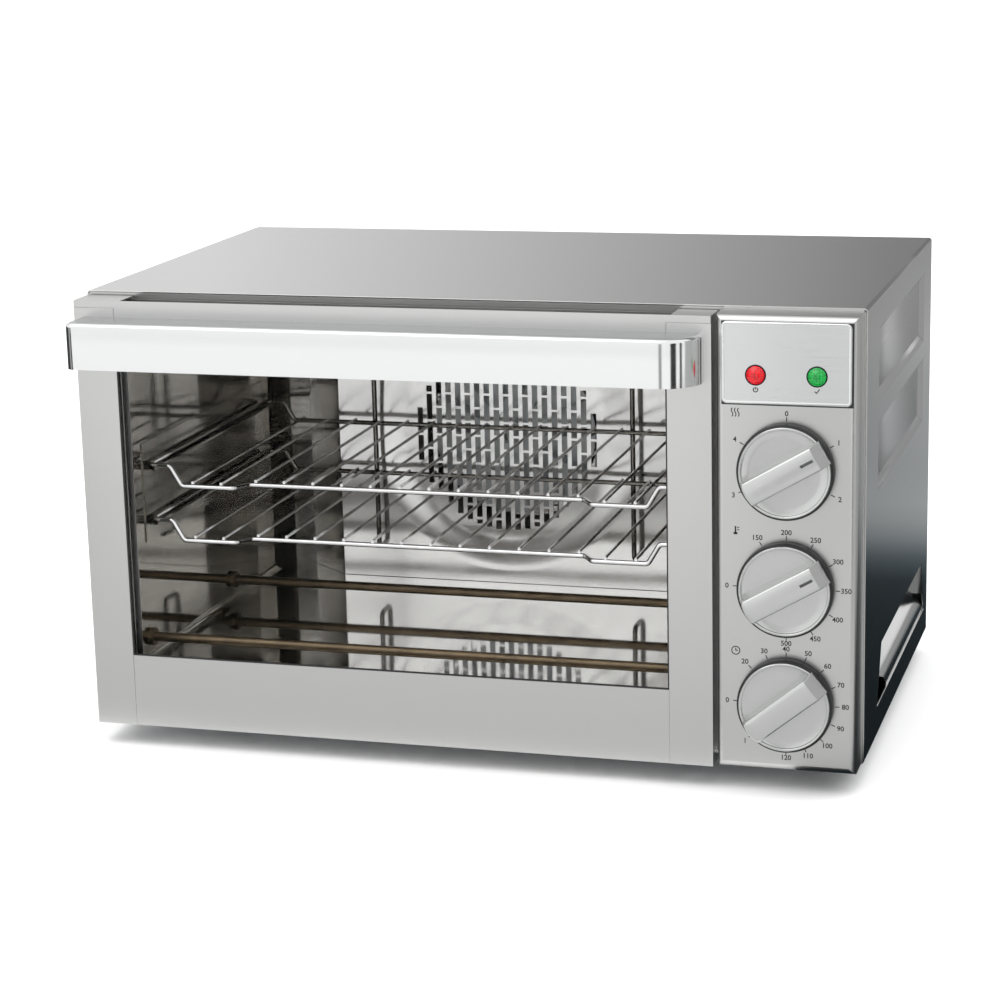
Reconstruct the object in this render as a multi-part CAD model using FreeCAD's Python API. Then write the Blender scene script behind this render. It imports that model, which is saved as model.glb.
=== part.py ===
import FreeCAD, Part

import math
import os

from FreeCAD import Vector

# Countertop convection oven with a drop-down glass door, two wire racks, four straight
# heating rods, a fan behind a slotted baffle, and three dials in a column on the right.
# Millimetres, +Z up, +Y from the front to the back, +X to the right as seen from the front.
# The origin is on the table, under the middle of the whole oven.

# Cabinet
CABINET_WIDTH = 480.0
CABINET_HEIGHT = 271.0
CABINET_DEPTH = 285.0
SHEET = 1.0
BASE_SHEET = 1.2
CORNER_RADIUS = 2.0
RETURN_WIDTH = 15.0
BASE_LIP = 10.0

# Feet
FOOT_HEIGHT = 14.0
FOOT_RADIUS = 12.0
FOOT_TAPER = 1.5
FOOT_INSET = 36.0
FOOT_SETBACK = 62.0
FOOT_RECESS = 7.0

# Cavity, measured inside the liner, by what lies between it and the cabinet or the door's sides
CAVITY_SIDE_MARGIN = 22.55
CAVITY_BASE_MARGIN = 32.0
CAVITY_ROOF_MARGIN = 32.0
CAVITY_REAR_MARGIN = 28.0
CAVITY_COVE = 6.0
CHAMFER_WIDTH = 22.5
CHAMFER_DEPTH = 24.0

# Door
DOOR_TOP_GAP = 2.5
DOOR_THICKNESS = 20.5
DOOR_GAP = 2.0
DOOR_SIDE_GAP = 1.0
STILE_WIDTH = 26.0
STILE_FLANGE = 14.0
BOTTOM_RAIL = 45.5
TOP_RAIL = 40.0
CAP_HEIGHT = 4.5
LEFT_END_CAP = 30.0
RIGHT_END_CAP = 23.5
GLASS_THICKNESS = 4.0
GLASS_OVERLAP = 8.0
INNER_OVERLAP = 5.0
INNER_MARGIN = 6.0
INNER_FRAME_INSET = 2.0
INNER_FRAME_FOOT = 19.0
INNER_FRAME_TOP_GAP = 1.8
GASKET_WIDTH = 4.5
GASKET_SPACING = 3.0

# Handle
HANDLE_HEIGHT = 28.0
HANDLE_DROP = 10.0
HANDLE_INSET = 4.1
HANDLE_STANDOFF = 25.5
HANDLE_STRAP = 2.4
HANDLE_RADIUS = 22.5
HANDLE_TAB = 12.0

# Door hinges
PIVOT_RADIUS = 8.0
PIN_RADIUS = 3.0
PIN_CLEARANCE = 0.08
PIN_GRIP = 0.02
HINGE_PLATE = 2.0
HINGE_KNUCKLE = 5.5
HINGE_OFFSET = 11.0
HINGE_FLANGE = 11.0
HINGE_FLANGE_SHEET = 1.2
ARM_SPREAD = 5.0
ARM_REACH = 32.0
ARM_PLATE = 1.5
PIN_OVERHANG = 1.0

# Control fascia
FASCIA_WIDTH = 81.5
FASCIA_GAP = 2.5
FASCIA_INSET = 1.5
FASCIA_DEPTH = 22.5
FASCIA_BOTTOM_GAP = 0.5
FASCIA_TOP_GAP = 1.5
FASCIA_RADIUS = 4.0
FASCIA_SHEET = 1.2
CONTROL_WINDOW_MARGIN = 8.0
BADGE_WIDTH = 74.3
BADGE_HEIGHT = 47.0
BADGE_DROP = 3.5
BADGE_THICKNESS = 1.6
BADGE_RADIUS = 3.0
LAMP_RADIUS = 5.45
LAMP_SPACING = 35.0
LAMP_LIFT = 16.6
LAMP_DOME = 3.0
LAMP_BODY_RADIUS = 4.2
LAMP_BODY_LENGTH = 22.0
LAMP_CLEARANCE = 0.2

# Dials
KNOB_LOWEST = 41.7
KNOB_HIGHEST_DROP = 38.5
KNOB_BASE_RADIUS = 27.9
KNOB_FACE_RADIUS = 25.4
KNOB_SKIRT = 7.2
KNOB_GAP = 0.8
KNOB_DISH = 1.6
KNOB_RIM = 1.7
GRIP_WIDTH = 14.5
GRIP_RISE = 9.0
GRIP_FILLET = 1.5
GRIP_SLOPE = 3.3
POINTER_LENGTH = 8.0
POINTER_WIDTH = 1.6
POINTER_DEPTH = 0.8
FUNCTION_POINTER = 60.0
TEMPERATURE_POINTER = 60.0
TIMER_POINTER = 51.0
SHAFT_RADIUS = 3.0
SHAFT_CLEARANCE = 0.08
SHAFT_DEPTH_IN_KNOB = 12.0
SHAFT_DEPTH_IN_BODY = 14.0
BUSH_RADIUS = 4.7
BUSH_LENGTH = 3.5
BUSH_CLEARANCE = 0.2

# Bodies behind the fascia
SWITCH_WIDTH = 40.0
SWITCH_DEPTH = 30.0
THERMOSTAT_RADIUS = 22.0
THERMOSTAT_DEPTH = 24.0
TIMER_WIDTH = 50.0
TIMER_DEPTH = 38.0
BULB_RADIUS = 2.5
BULB_LENGTH = 70.0
BULB_SETBACK = 60.0
BULB_LEAD = 12.0
BULB_STANDOFF = 6.0
BULB_DROP = 9.0
CAPILLARY_RISE = 11.0
CAPILLARY_RADIUS = 1.2
CAPILLARY_BEND = 6.0
CAPILLARY_CLEARANCE = 0.3

# Side panel embossing and hand-grips
EMBOSS_FRONT = 46.0
EMBOSS_REAR = 35.0
EMBOSS_DROPS = (18.5, 74.5)
EMBOSS_HEIGHTS = (45.0, 42.5)
EMBOSS_DEPTH = 3.0
EMBOSS_SLOPE = 5.0
GRIP_POCKET_FRONT = 52.0
GRIP_POCKET_REAR = 15.0
GRIP_POCKET_BOTTOM = 19.0
GRIP_POCKET_HEIGHT = 36.0
GRIP_POCKET_DEPTH = 12.0
GRIP_POCKET_LIP = 24.0
GRIP_POCKET_TAPER = 16.0

# Baffle, grille and fan
BAFFLE_STANDOFF = 24.0
BAFFLE_WING = 30.0
BAFFLE_FLANGE = 14.0
BAFFLE_CLEARANCE = 0.3
GRILLE_RADIUS = 66.5
GRILLE_RISE = 104.0
SLOT_WIDTH = 4.0
SLOT_PITCH = 6.87
SLOT_ROW = 19.5
SLOT_BRIDGE = 1.6
SLOT_SHORTEST = 3.0
FAN_RADIUS = 58.0
FAN_BLADES = 14
FAN_BLADE_INNER = 24.0
FAN_BLADE_SHEET = 1.0
FAN_BLADE_WIDTH = 12.0
FAN_DISC = 1.0
FAN_REAR_GAP = 3.5
FAN_HUB_RADIUS = 9.0
FAN_HUB_LENGTH = 10.0
FAN_SHAFT_RADIUS = 4.0
FAN_SHAFT_FRONT = 6.0
FAN_NUT_RADIUS = 7.0
FAN_NUT_LENGTH = 4.0
NUT_SIDES = 6
FAN_FIT = 0.06
SHAFT_HOLE_CLEARANCE = 3.0

# Fan motor and rear cover
MOTOR_RADIUS = 32.0
MOTOR_LENGTH = 38.0
MOTOR_END = 1.0
FAN_SHAFT_END_GAP = 0.5
MOTOR_BRACKET_HALF = 40.0
MOTOR_BRACKET_HEIGHT = 76.0
MOTOR_BRACKET_FLANGE = 16.0
MOTOR_BRACKET_STEP = 5.0
MOTOR_BRACKET_SHEET = 1.5
MOTOR_HOLE_CLEARANCE = 3.0
COVER_WIDTH = 118.0
COVER_HEIGHT = 104.0
COVER_DEPTH = 30.0
COVER_LIP = 10.0
COVER_SLOTS = 7
COVER_SLOT_LENGTH = 60.0
COVER_SLOT_HEIGHT = 4.0
COVER_SLOT_PITCH = 10.0
GLAND_RADIUS = 8.0
GLAND_FLANGE = 11.0
GLAND_BORE = 3.6
GLAND_LENGTH = 12.0
GLAND_FLANGE_LENGTH = 4.0
GLAND_RISE = 40.0
GLAND_INSET = 60.0

# Insulation
INSULATION_GAP = 0.3
INSULATION_SIDE = 17.0
INSULATION_TOP = 24.0
INSULATION_BOTTOM = 18.0
INSULATION_CLEARANCE = 4.0

# Racks, by the gaps to what they hang in and by the lengths of their bends
RACK_LOWEST = 78.5
RACK_PITCH = 35.0
RACK_FRONT = 17.4
RACK_REAR_GAP = 14.0
RACK_SIDE_GAP = 3.2
RACK_HOOK_INSET = 14.2
RACK_HOOK_RUN = 7.5
RACK_WIRE_INSET = 7.4
RACK_LOW_LENGTH = 34.3
RACK_JOG_RUN = 7.2
RACK_JOG = 11.0
RACK_RISE = 12.5
RACK_ROD = 1.6
RACK_WIRE = 0.95
RACK_WIRES = 16
RACK_BEND = 3.2
RACK_SIDE_BEND = 6.0
RACK_WIRE_SINK = 0.3

# Rack guides and rack stops
GUIDE_SHEET = 0.8
GUIDE_LEDGE = 8.5
GUIDE_FRONT = 14.0
GUIDE_OVERHANG = 1.0
GUIDE_MARGIN = 14.0
GUIDE_GAP = 0.3
STOP_SPACING = 183.0
STOP_RADIUS = 1.7
STOP_GAP = 10.0
STOP_BOTTOM = 24.0
STOP_BEND = 4.0

# Heating rods
HEATER_RADIUS = 3.0
HEATER_SETBACKS = (14.0, 153.0)
HEATER_RISE = 15.0
HEATER_BUSH_RADIUS = 5.5
HEATER_BUSH_INSIDE = 3.0
HEATER_BUSH_OUTSIDE = 4.0
HEATER_PIN_RADIUS = 1.5
HEATER_PIN_LENGTH = 9.0
HEATER_HOLE_CLEARANCE = 0.2

# Screws
SCREW_RADIUS = 1.9
SCREW_LENGTH = 7.0
SHORT_SCREW_LENGTH = 4.5
SCREW_HEAD_RADIUS = 3.5
SCREW_HEAD_TOP_RADIUS = 2.8
SCREW_HEAD_HEIGHT = 2.0
SCREW_CLEARANCE = 0.15
REAR_SCREW_INSET = 9.0
REAR_SCREW_RISE = 19.0
COVER_SCREW_REACH = 35.0
BASE_SCREW_SETBACK = 57.0
BAFFLE_SCREW_INSET = 8.4
BAFFLE_SCREW_RISE = 41.4
BRACKET_SCREW_REACH = 25.0
HANDLE_SCREW_INSET = 7.2

# How near two places, or the ends of two unit directions, are to count as the same
TOUCH = 0.001

# Places worked out from the sizes above
LEFT = -CABINET_WIDTH / 2
RIGHT = CABINET_WIDTH / 2
WHOLE_DEPTH = HANDLE_STANDOFF + DOOR_THICKNESS + DOOR_GAP + CABINET_DEPTH + COVER_DEPTH
FRONT = HANDLE_STANDOFF + DOOR_THICKNESS + DOOR_GAP - WHOLE_DEPTH / 2
REAR = FRONT + CABINET_DEPTH
BOTTOM = FOOT_HEIGHT
TOP = BOTTOM + CABINET_HEIGHT

FASCIA_RIGHT = RIGHT - FASCIA_INSET
FASCIA_LEFT = FASCIA_RIGHT - FASCIA_WIDTH
FASCIA_MIDDLE = (FASCIA_LEFT + FASCIA_RIGHT) / 2
FASCIA_FRONT = FRONT - FASCIA_DEPTH
FASCIA_INSIDE = FASCIA_FRONT + FASCIA_SHEET
FASCIA_BOTTOM = BOTTOM + FASCIA_BOTTOM_GAP
FASCIA_TOP = TOP - FASCIA_TOP_GAP
BADGE_TOP = FASCIA_TOP - BADGE_DROP
BADGE_BOTTOM = BADGE_TOP - BADGE_HEIGHT
LAMP_Z = BADGE_BOTTOM + LAMP_LIFT
KNOB_BACK = FASCIA_FRONT - KNOB_GAP
KNOB_FACE = KNOB_BACK - KNOB_SKIRT
KNOB_FRONT = KNOB_FACE - GRIP_RISE
FUNCTION_Z = BADGE_BOTTOM - KNOB_HIGHEST_DROP
TIMER_Z = BOTTOM + KNOB_LOWEST
TEMPERATURE_Z = (FUNCTION_Z + TIMER_Z) / 2

DOOR_LEFT = LEFT + DOOR_SIDE_GAP
DOOR_RIGHT = FASCIA_LEFT - FASCIA_GAP
DOOR_MIDDLE = (DOOR_LEFT + DOOR_RIGHT) / 2
DOOR_BACK = FRONT - DOOR_GAP
DOOR_FRONT = DOOR_BACK - DOOR_THICKNESS
DOOR_BOTTOM = BOTTOM
DOOR_TOP = TOP - DOOR_TOP_GAP
CAP_BOTTOM = DOOR_TOP - CAP_HEIGHT
WINDOW_LEFT = DOOR_LEFT + STILE_WIDTH
WINDOW_RIGHT = DOOR_RIGHT - STILE_WIDTH
WINDOW_BOTTOM = DOOR_BOTTOM + BOTTOM_RAIL
WINDOW_TOP = DOOR_TOP - TOP_RAIL
INNER_FRAME_BACK = DOOR_BACK - SHEET
INNER_FRAME_FRONT = INNER_FRAME_BACK - SHEET
PIVOT_Y = DOOR_BACK - PIVOT_RADIUS
PIVOT_Z = DOOR_BOTTOM + PIVOT_RADIUS
HINGE_X = DOOR_LEFT + HINGE_OFFSET
HINGE_REACH = DOOR_MIDDLE - HINGE_X

CAVITY_LEFT = DOOR_LEFT + CAVITY_SIDE_MARGIN
CAVITY_RIGHT = DOOR_RIGHT - CAVITY_SIDE_MARGIN
CAVITY_HALF = (CAVITY_RIGHT - CAVITY_LEFT) / 2
FLOOR = BOTTOM + CAVITY_BASE_MARGIN
CEILING = TOP - CAVITY_ROOF_MARGIN
CAVITY_REAR = REAR - CAVITY_REAR_MARGIN
LINER_REAR = CAVITY_REAR + SHEET
BAFFLE_FACE = CAVITY_REAR - BAFFLE_STANDOFF
BAFFLE_TIP = CAVITY_HALF - CHAMFER_WIDTH - BAFFLE_CLEARANCE
BAFFLE_HALF = BAFFLE_TIP - BAFFLE_WING
FAN_Z = FLOOR + GRILLE_RISE

RACK_REAR = BAFFLE_FACE - RACK_REAR_GAP
RACK_SIDE = CAVITY_HALF - RACK_SIDE_GAP
RACK_HOOK_END = RACK_SIDE - RACK_HOOK_INSET
RACK_HOOK_START = RACK_HOOK_END - RACK_HOOK_RUN
RACK_OUTER_WIRE = RACK_HOOK_START - RACK_WIRE_INSET
RACK_LOW_INNER = RACK_HOOK_START - RACK_LOW_LENGTH
RACK_MAIN_HALF = RACK_LOW_INNER - RACK_JOG_RUN

MOTOR_FRONT = LINER_REAR + MOTOR_BRACKET_STEP + MOTOR_BRACKET_SHEET
MOTOR_BACK = MOTOR_FRONT + MOTOR_LENGTH
FAN_SHAFT_BACK = MOTOR_BACK - MOTOR_END
GUIDE_FACE = CAVITY_LEFT + GUIDE_SHEET
HEATER_LOW_Z = FLOOR + HEATER_RISE
HEATER_HIGH_Z = CEILING - HEATER_RISE
HOLE_RADIUS = SCREW_RADIUS + SCREW_CLEARANCE


# Shape helpers
def box(x0, x1, y0, y1, z0, z1):
    """A block between two corners."""
    return Part.makeBox(x1 - x0, y1 - y0, z1 - z0, Vector(x0, y0, z0))


def rod_x(x0, x1, y, z, radius):
    """A round bar along X."""
    return Part.makeCylinder(radius, x1 - x0, Vector(x0, y, z), Vector(1, 0, 0))


def rod_y(x, y0, y1, z, radius):
    """A round bar along Y."""
    return Part.makeCylinder(radius, y1 - y0, Vector(x, y0, z), Vector(0, 1, 0))


def rod_z(x, y, z0, z1, radius):
    """A round bar along Z."""
    return Part.makeCylinder(radius, z1 - z0, Vector(x, y, z0), Vector(0, 0, 1))


def joined(shapes):
    """One solid from shapes that touch or overlap."""
    whole = shapes[0].fuse(shapes[1:]) if len(shapes) > 1 else shapes[0]
    return whole.removeSplitter()


def mirrored(shape):
    """The same shape on the other side of the door's middle plane."""
    return shape.mirror(Vector(DOOR_MIDDLE, 0, 0), Vector(1, 0, 0))


def mirrored_cabinet(shape):
    """The same shape on the other side of the cabinet's middle plane."""
    return shape.mirror(Vector(0, 0, 0), Vector(1, 0, 0))


def plan_prism(points, z0, z1):
    """A prism over an outline drawn in plan."""
    corners = [Vector(x, y, z0) for x, y in points]
    face = Part.Face(Part.makePolygon(corners + [corners[0]]))
    return face.extrude(Vector(0, 0, z1 - z0))


def side_prism(points, x0, x1):
    """A prism along X over an outline drawn in the Y-Z plane."""
    corners = [Vector(x0, y, z) for y, z in points]
    face = Part.Face(Part.makePolygon(corners + [corners[0]]))
    return face.extrude(Vector(x1 - x0, 0, 0))


def front_prism(points, y0, y1):
    """A prism along Y over an outline drawn in the X-Z plane."""
    corners = [Vector(x, y0, z) for x, z in points]
    face = Part.Face(Part.makePolygon(corners + [corners[0]]))
    return face.extrude(Vector(0, y1 - y0, 0))


def along(shape, axis):
    """The straight edges of a shape that run along an axis."""
    found = []
    for edge in shape.Edges:
        if not isinstance(edge.Curve, Part.Line):
            continue
        if edge.tangentAt(edge.FirstParameter).cross(axis).Length < TOUCH:
            found.append(edge)
    return found


def front_face(block):
    """The foremost flat face of a block."""
    return min(block.Faces, key=lambda face: face.BoundBox.YMax)


def round_bar(x0, x1, y0, y1, z0, z1, radius, axis):
    """A block with its four edges along an axis rounded."""
    block = box(x0, x1, y0, y1, z0, z1)
    return block.makeFillet(radius, along(block, axis))


def offset_line(points, distance):
    """An open line of points moved sideways, to its left, with mitred corners."""
    moved = []
    for index, (x, y) in enumerate(points):
        before = points[max(index - 1, 0)]
        after = points[min(index + 1, len(points) - 1)]
        normals = []
        for start, end in ((before, (x, y)), ((x, y), after)):
            length = math.hypot(end[0] - start[0], end[1] - start[1])
            if length > 0:
                normals.append(((start[1] - end[1]) / length, (end[0] - start[0]) / length))
        if len(normals) == 1:
            normals.append(normals[0])
        (ax, ay), (bx, by) = normals
        share = distance / (1 + ax * bx + ay * by)
        moved.append((x + share * (ax + bx), y + share * (ay + by)))
    return moved


def folded(points, thickness, z0, z1):
    """A folded sheet that follows a line in plan, thickened to the line's left."""
    outline = points + offset_line(points, thickness)[::-1]
    return plan_prism(outline, z0, z1)


def bent_path(points, radii):
    """A wire of straight runs joined by tangent arcs."""
    edges = []
    start = points[0]
    for index in range(1, len(points) - 1):
        corner = points[index]
        back = (points[index - 1] - corner).normalize()
        ahead = (points[index + 1] - corner).normalize()
        half = back.getAngle(ahead) / 2
        reach = radii[index - 1] / math.tan(half)
        first = corner + back * reach
        last = corner + ahead * reach
        inward = (back + ahead).normalize()
        centre = corner + inward * (radii[index - 1] / math.sin(half))
        middle = centre - inward * radii[index - 1]
        if (first - start).Length > TOUCH:
            edges.append(Part.LineSegment(start, first).toShape())
        edges.append(Part.Arc(first, middle, last).toShape())
        start = last
    edges.append(Part.LineSegment(start, points[-1]).toShape())
    return Part.Wire(edges)


def bent_rod(points, radii, radius):
    """A round rod bent along a path."""
    path = bent_path(points, radii)
    heading = points[1] - points[0]
    section = Part.Wire(Part.makeCircle(radius, points[0], heading))
    return path.makePipeShell([section], True, False)


def screw(x, y, z, direction, length):
    """A pan-head screw whose head sits on a surface and whose shank goes in."""
    axis = Vector(*direction)
    seat = Vector(x, y, z)
    shank = Part.makeCylinder(SCREW_RADIUS, length, seat, axis)
    top = seat - axis * SCREW_HEAD_HEIGHT
    head = Part.makeCone(SCREW_HEAD_TOP_RADIUS, SCREW_HEAD_RADIUS, SCREW_HEAD_HEIGHT, top, axis)
    return joined([shank, head])


def screw_hole(x, y, z, direction, length):
    """The clearance hole for a screw, run out past its seat."""
    axis = Vector(*direction)
    start = Vector(x, y, z) - axis * SCREW_HEAD_HEIGHT
    return Part.makeCylinder(HOLE_RADIUS, SCREW_HEAD_HEIGHT + length, start, axis)


# Screw places, each with the direction the screw goes in and its length
def foot_places():
    """The plan position of each foot, by name."""
    places = {}
    for end, y in (("front", FRONT + FOOT_SETBACK), ("rear", REAR - FOOT_SETBACK)):
        for side, x in (("left", LEFT + FOOT_INSET), ("right", RIGHT - FOOT_INSET)):
            places[f"foot_{end}_{side}"] = (x, y)
    return places


def hinge_screw_places():
    """One screw through each hinge flange into the front frame."""
    reach = HINGE_REACH - HINGE_PLATE - HINGE_FLANGE / 2
    y = FRONT - HINGE_FLANGE_SHEET
    places = []
    for side in (-1, 1):
        places.append((DOOR_MIDDLE + side * reach, y, PIVOT_Z, (0, 1, 0), SCREW_LENGTH))
    return places


def rear_screw_places():
    """Screws near the corners of the rear panel and of the motor cover's lips."""
    places = []
    for z in (BOTTOM + REAR_SCREW_RISE, TOP - REAR_SCREW_RISE):
        for x in (LEFT + REAR_SCREW_INSET, RIGHT - REAR_SCREW_INSET):
            places.append((x, REAR, z, (0, -1, 0), SCREW_LENGTH))
    for z in (FAN_Z - COVER_SCREW_REACH, FAN_Z + COVER_SCREW_REACH):
        for side in (-1, 1):
            x = DOOR_MIDDLE + side * (COVER_WIDTH + COVER_LIP) / 2
            places.append((x, REAR + SHEET, z, (0, -1, 0), SCREW_LENGTH))
    return places


def base_screw_places():
    """Screws from below through the wrap's returns into the base pan."""
    places = []
    for y in (FRONT + BASE_SCREW_SETBACK, REAR - BASE_SCREW_SETBACK):
        for x in (LEFT + RETURN_WIDTH / 2, RIGHT - RETURN_WIDTH / 2):
            places.append((x, y, BOTTOM, (0, 0, 1), SCREW_LENGTH))
    return places


def baffle_screw_places():
    """Screws from behind the liner into the baffle's flanges."""
    places = []
    reach = BAFFLE_TIP - BAFFLE_SCREW_INSET
    for z in (FLOOR + BAFFLE_SCREW_RISE, CEILING - BAFFLE_SCREW_RISE):
        for side in (-1, 1):
            x = DOOR_MIDDLE + side * reach
            places.append((x, LINER_REAR, z, (0, -1, 0), SHORT_SCREW_LENGTH))
    return places


def bracket_screw_places():
    """Screws through the motor bracket's flanges into the liner."""
    places = []
    reach = MOTOR_BRACKET_HALF + MOTOR_BRACKET_FLANGE / 2
    y = LINER_REAR + MOTOR_BRACKET_SHEET
    for z in (FAN_Z - BRACKET_SCREW_REACH, FAN_Z + BRACKET_SCREW_REACH):
        for side in (-1, 1):
            x = DOOR_MIDDLE + side * reach
            places.append((x, y, z, (0, -1, 0), SHORT_SCREW_LENGTH))
    return places


def handle_screw_places():
    """Screws from inside the door's stiles into the handle's tabs."""
    reach = DOOR_MIDDLE - DOOR_LEFT - HANDLE_INSET - HANDLE_SCREW_INSET
    y = DOOR_FRONT + SHEET
    z = DOOR_TOP - HANDLE_DROP - HANDLE_HEIGHT / 2
    length = SHEET + HANDLE_STRAP
    places = []
    for side in (-1, 1):
        places.append((DOOR_MIDDLE + side * reach, y, z, (0, -1, 0), length))
    return places


def drilled(shape, places):
    """A shape with its screw holes."""
    return shape.cut([screw_hole(*place) for place in places])


def screws(places):
    """A group of separate screws."""
    return Part.makeCompound([screw(*place) for place in places])


def emboss(index):
    """One embossed panel of the left side: the pan's outside and its inside."""
    z1 = TOP - EMBOSS_DROPS[index]
    z0 = z1 - EMBOSS_HEIGHTS[index]
    y0 = FRONT + EMBOSS_FRONT
    y1 = REAR - EMBOSS_REAR
    pans = []
    for inset, depth in ((-SHEET, EMBOSS_DEPTH + SHEET), (0.0, EMBOSS_DEPTH)):
        wires = []
        for x, shrink in ((LEFT, inset), (LEFT + depth, inset + EMBOSS_SLOPE)):
            corners = [
                Vector(x, y0 + shrink, z0 + shrink),
                Vector(x, y1 - shrink, z0 + shrink),
                Vector(x, y1 - shrink, z1 - shrink),
                Vector(x, y0 + shrink, z1 - shrink),
            ]
            wires.append(Part.makePolygon(corners + [corners[0]]))
        pans.append(Part.makeLoft(wires, True, True))
    return pans


def grip_window(grow):
    """The left hand-grip's outline as a prism into the cabinet, grown by a distance."""
    y0 = FRONT + GRIP_POCKET_FRONT - grow
    y1 = REAR - GRIP_POCKET_REAR + grow
    z0 = BOTTOM + GRIP_POCKET_BOTTOM
    z1 = z0 + GRIP_POCKET_HEIGHT + grow
    outline = [(y0, z0), (y1, z0), (y1 - GRIP_POCKET_TAPER, z1), (y0 + GRIP_POCKET_TAPER, z1)]
    return side_prism(outline, LEFT, LEFT + GRIP_POCKET_DEPTH + grow)


def grip_hood(grow):
    """The wedge of space in front of a hand-grip's pushed-in sheet, grown by a distance."""
    foot = BOTTOM + GRIP_POCKET_BOTTOM + GRIP_POCKET_HEIGHT - GRIP_POCKET_LIP
    depth = GRIP_POCKET_DEPTH + grow
    height = GRIP_POCKET_LIP * depth / GRIP_POCKET_DEPTH
    section = [(LEFT, foot), (LEFT, foot + height), (LEFT + depth, foot)]
    return front_prism(section, FRONT, REAR).common(grip_window(grow))


# Cabinet pieces
def outer_wrap():
    """Top, sides and bottom returns, folded from one sheet, with the side embossing."""
    outer = round_bar(LEFT, RIGHT, FRONT, REAR, BOTTOM, TOP, CORNER_RADIUS, Vector(0, 1, 0))
    inner = round_bar(
        LEFT + SHEET, RIGHT - SHEET, FRONT, REAR, BOTTOM + SHEET, TOP - SHEET,
        CORNER_RADIUS - SHEET, Vector(0, 1, 0),
    )
    opening = box(LEFT + RETURN_WIDTH, RIGHT - RETURN_WIDTH, FRONT, REAR, BOTTOM, BOTTOM + SHEET)
    wrap = outer.cut([inner, opening])
    pans = []
    hollows = []
    for index in range(len(EMBOSS_DROPS)):
        pan, hollow = emboss(index)
        pans += [pan, mirrored_cabinet(pan)]
        hollows += [hollow, mirrored_cabinet(hollow)]
    window = grip_window(0.0)
    hood = grip_hood(SHEET).cut(grip_hood(0.0))
    wrap = wrap.cut([window, mirrored_cabinet(window)])
    pans += [hood, mirrored_cabinet(hood)]
    wrap = wrap.fuse(pans).cut(hollows).removeSplitter()
    return drilled(wrap, base_screw_places())


def base_pan():
    """The bottom sheet, with a lip along each side."""
    left = LEFT + SHEET
    right = RIGHT - SHEET
    front = FRONT + SHEET
    rear = REAR - SHEET
    z = BOTTOM + SHEET
    plate = box(left, right, front, rear, z, z + BASE_SHEET)
    lips = [
        box(left, left + BASE_SHEET, front, rear, z, z + BASE_LIP),
        box(right - BASE_SHEET, right, front, rear, z, z + BASE_LIP),
    ]
    corner = CORNER_RADIUS - SHEET
    cuts = []
    for x in (left, right):
        cuts.append(box(x - corner, x + corner, front, rear, z, z + corner))
    for x, y in foot_places().values():
        cuts.append(rod_z(x, y, z, z + BASE_SHEET, HOLE_RADIUS))
    return drilled(joined([plate] + lips).cut(cuts), base_screw_places())


def rear_panel():
    """The flat back sheet, with holes for the motor, its cover's screws and the cord."""
    panel = round_bar(
        LEFT + SHEET, RIGHT - SHEET, REAR - SHEET, REAR, BOTTOM + SHEET, TOP - SHEET,
        CORNER_RADIUS, Vector(0, 1, 0),
    )
    holes = [
        rod_y(DOOR_MIDDLE, REAR - SHEET, REAR, FAN_Z, MOTOR_RADIUS + MOTOR_HOLE_CLEARANCE),
        rod_y(RIGHT - GLAND_INSET, REAR - SHEET, REAR, BOTTOM + GLAND_RISE, GLAND_RADIUS),
    ]
    return drilled(panel.cut(holes), rear_screw_places())


def motor_cover():
    """The slotted box over the back of the fan motor."""
    half = COVER_WIDTH / 2
    z0 = FAN_Z - COVER_HEIGHT / 2
    z1 = FAN_Z + COVER_HEIGHT / 2
    back = REAR + COVER_DEPTH
    outer = box(DOOR_MIDDLE - half, DOOR_MIDDLE + half, REAR, back, z0, z1)
    inner = box(
        DOOR_MIDDLE - half + SHEET, DOOR_MIDDLE + half - SHEET, REAR, back - SHEET,
        z0 + SHEET, z1 - SHEET,
    )
    lips = box(
        DOOR_MIDDLE - half - COVER_LIP, DOOR_MIDDLE + half + COVER_LIP, REAR, REAR + SHEET, z0, z1
    )
    slots = []
    for row in range(COVER_SLOTS):
        z = FAN_Z + (row - (COVER_SLOTS - 1) / 2) * COVER_SLOT_PITCH
        slots.append(
            box(
                DOOR_MIDDLE - COVER_SLOT_LENGTH / 2, DOOR_MIDDLE + COVER_SLOT_LENGTH / 2,
                back - SHEET, back, z - COVER_SLOT_HEIGHT / 2, z + COVER_SLOT_HEIGHT / 2,
            )
        )
    cover = joined([outer, lips]).cut([inner] + slots)
    return drilled(cover, rear_screw_places())


def cord_gland():
    """The grommet in the rear panel where a supply cord would come out."""
    x = RIGHT - GLAND_INSET
    z = BOTTOM + GLAND_RISE
    barrel = rod_y(x, REAR - GLAND_LENGTH, REAR, z, GLAND_RADIUS)
    outer = rod_y(x, REAR, REAR + GLAND_FLANGE_LENGTH, z, GLAND_FLANGE)
    inner = rod_y(x, REAR - GLAND_LENGTH, REAR - SHEET, z, GLAND_FLANGE)
    bore = rod_y(x, REAR - GLAND_LENGTH, REAR + GLAND_FLANGE_LENGTH, z, GLAND_BORE)
    return joined([barrel, outer, inner]).cut(bore)


def front_frame():
    """The front sheet, open at the cavity and behind the controls."""
    frame = round_bar(
        LEFT + SHEET, RIGHT - SHEET, FRONT, FRONT + SHEET, BOTTOM + SHEET, TOP - SHEET,
        CORNER_RADIUS, Vector(0, 1, 0),
    )
    margin = CONTROL_WINDOW_MARGIN
    openings = [
        box(CAVITY_LEFT, CAVITY_RIGHT, FRONT, FRONT + SHEET, FLOOR, CEILING),
        box(
            FASCIA_LEFT + margin, FASCIA_RIGHT - margin, FRONT, FRONT + SHEET,
            FASCIA_BOTTOM + margin, FASCIA_TOP - margin,
        ),
    ]
    return drilled(frame.cut(openings), hinge_screw_places())


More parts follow.
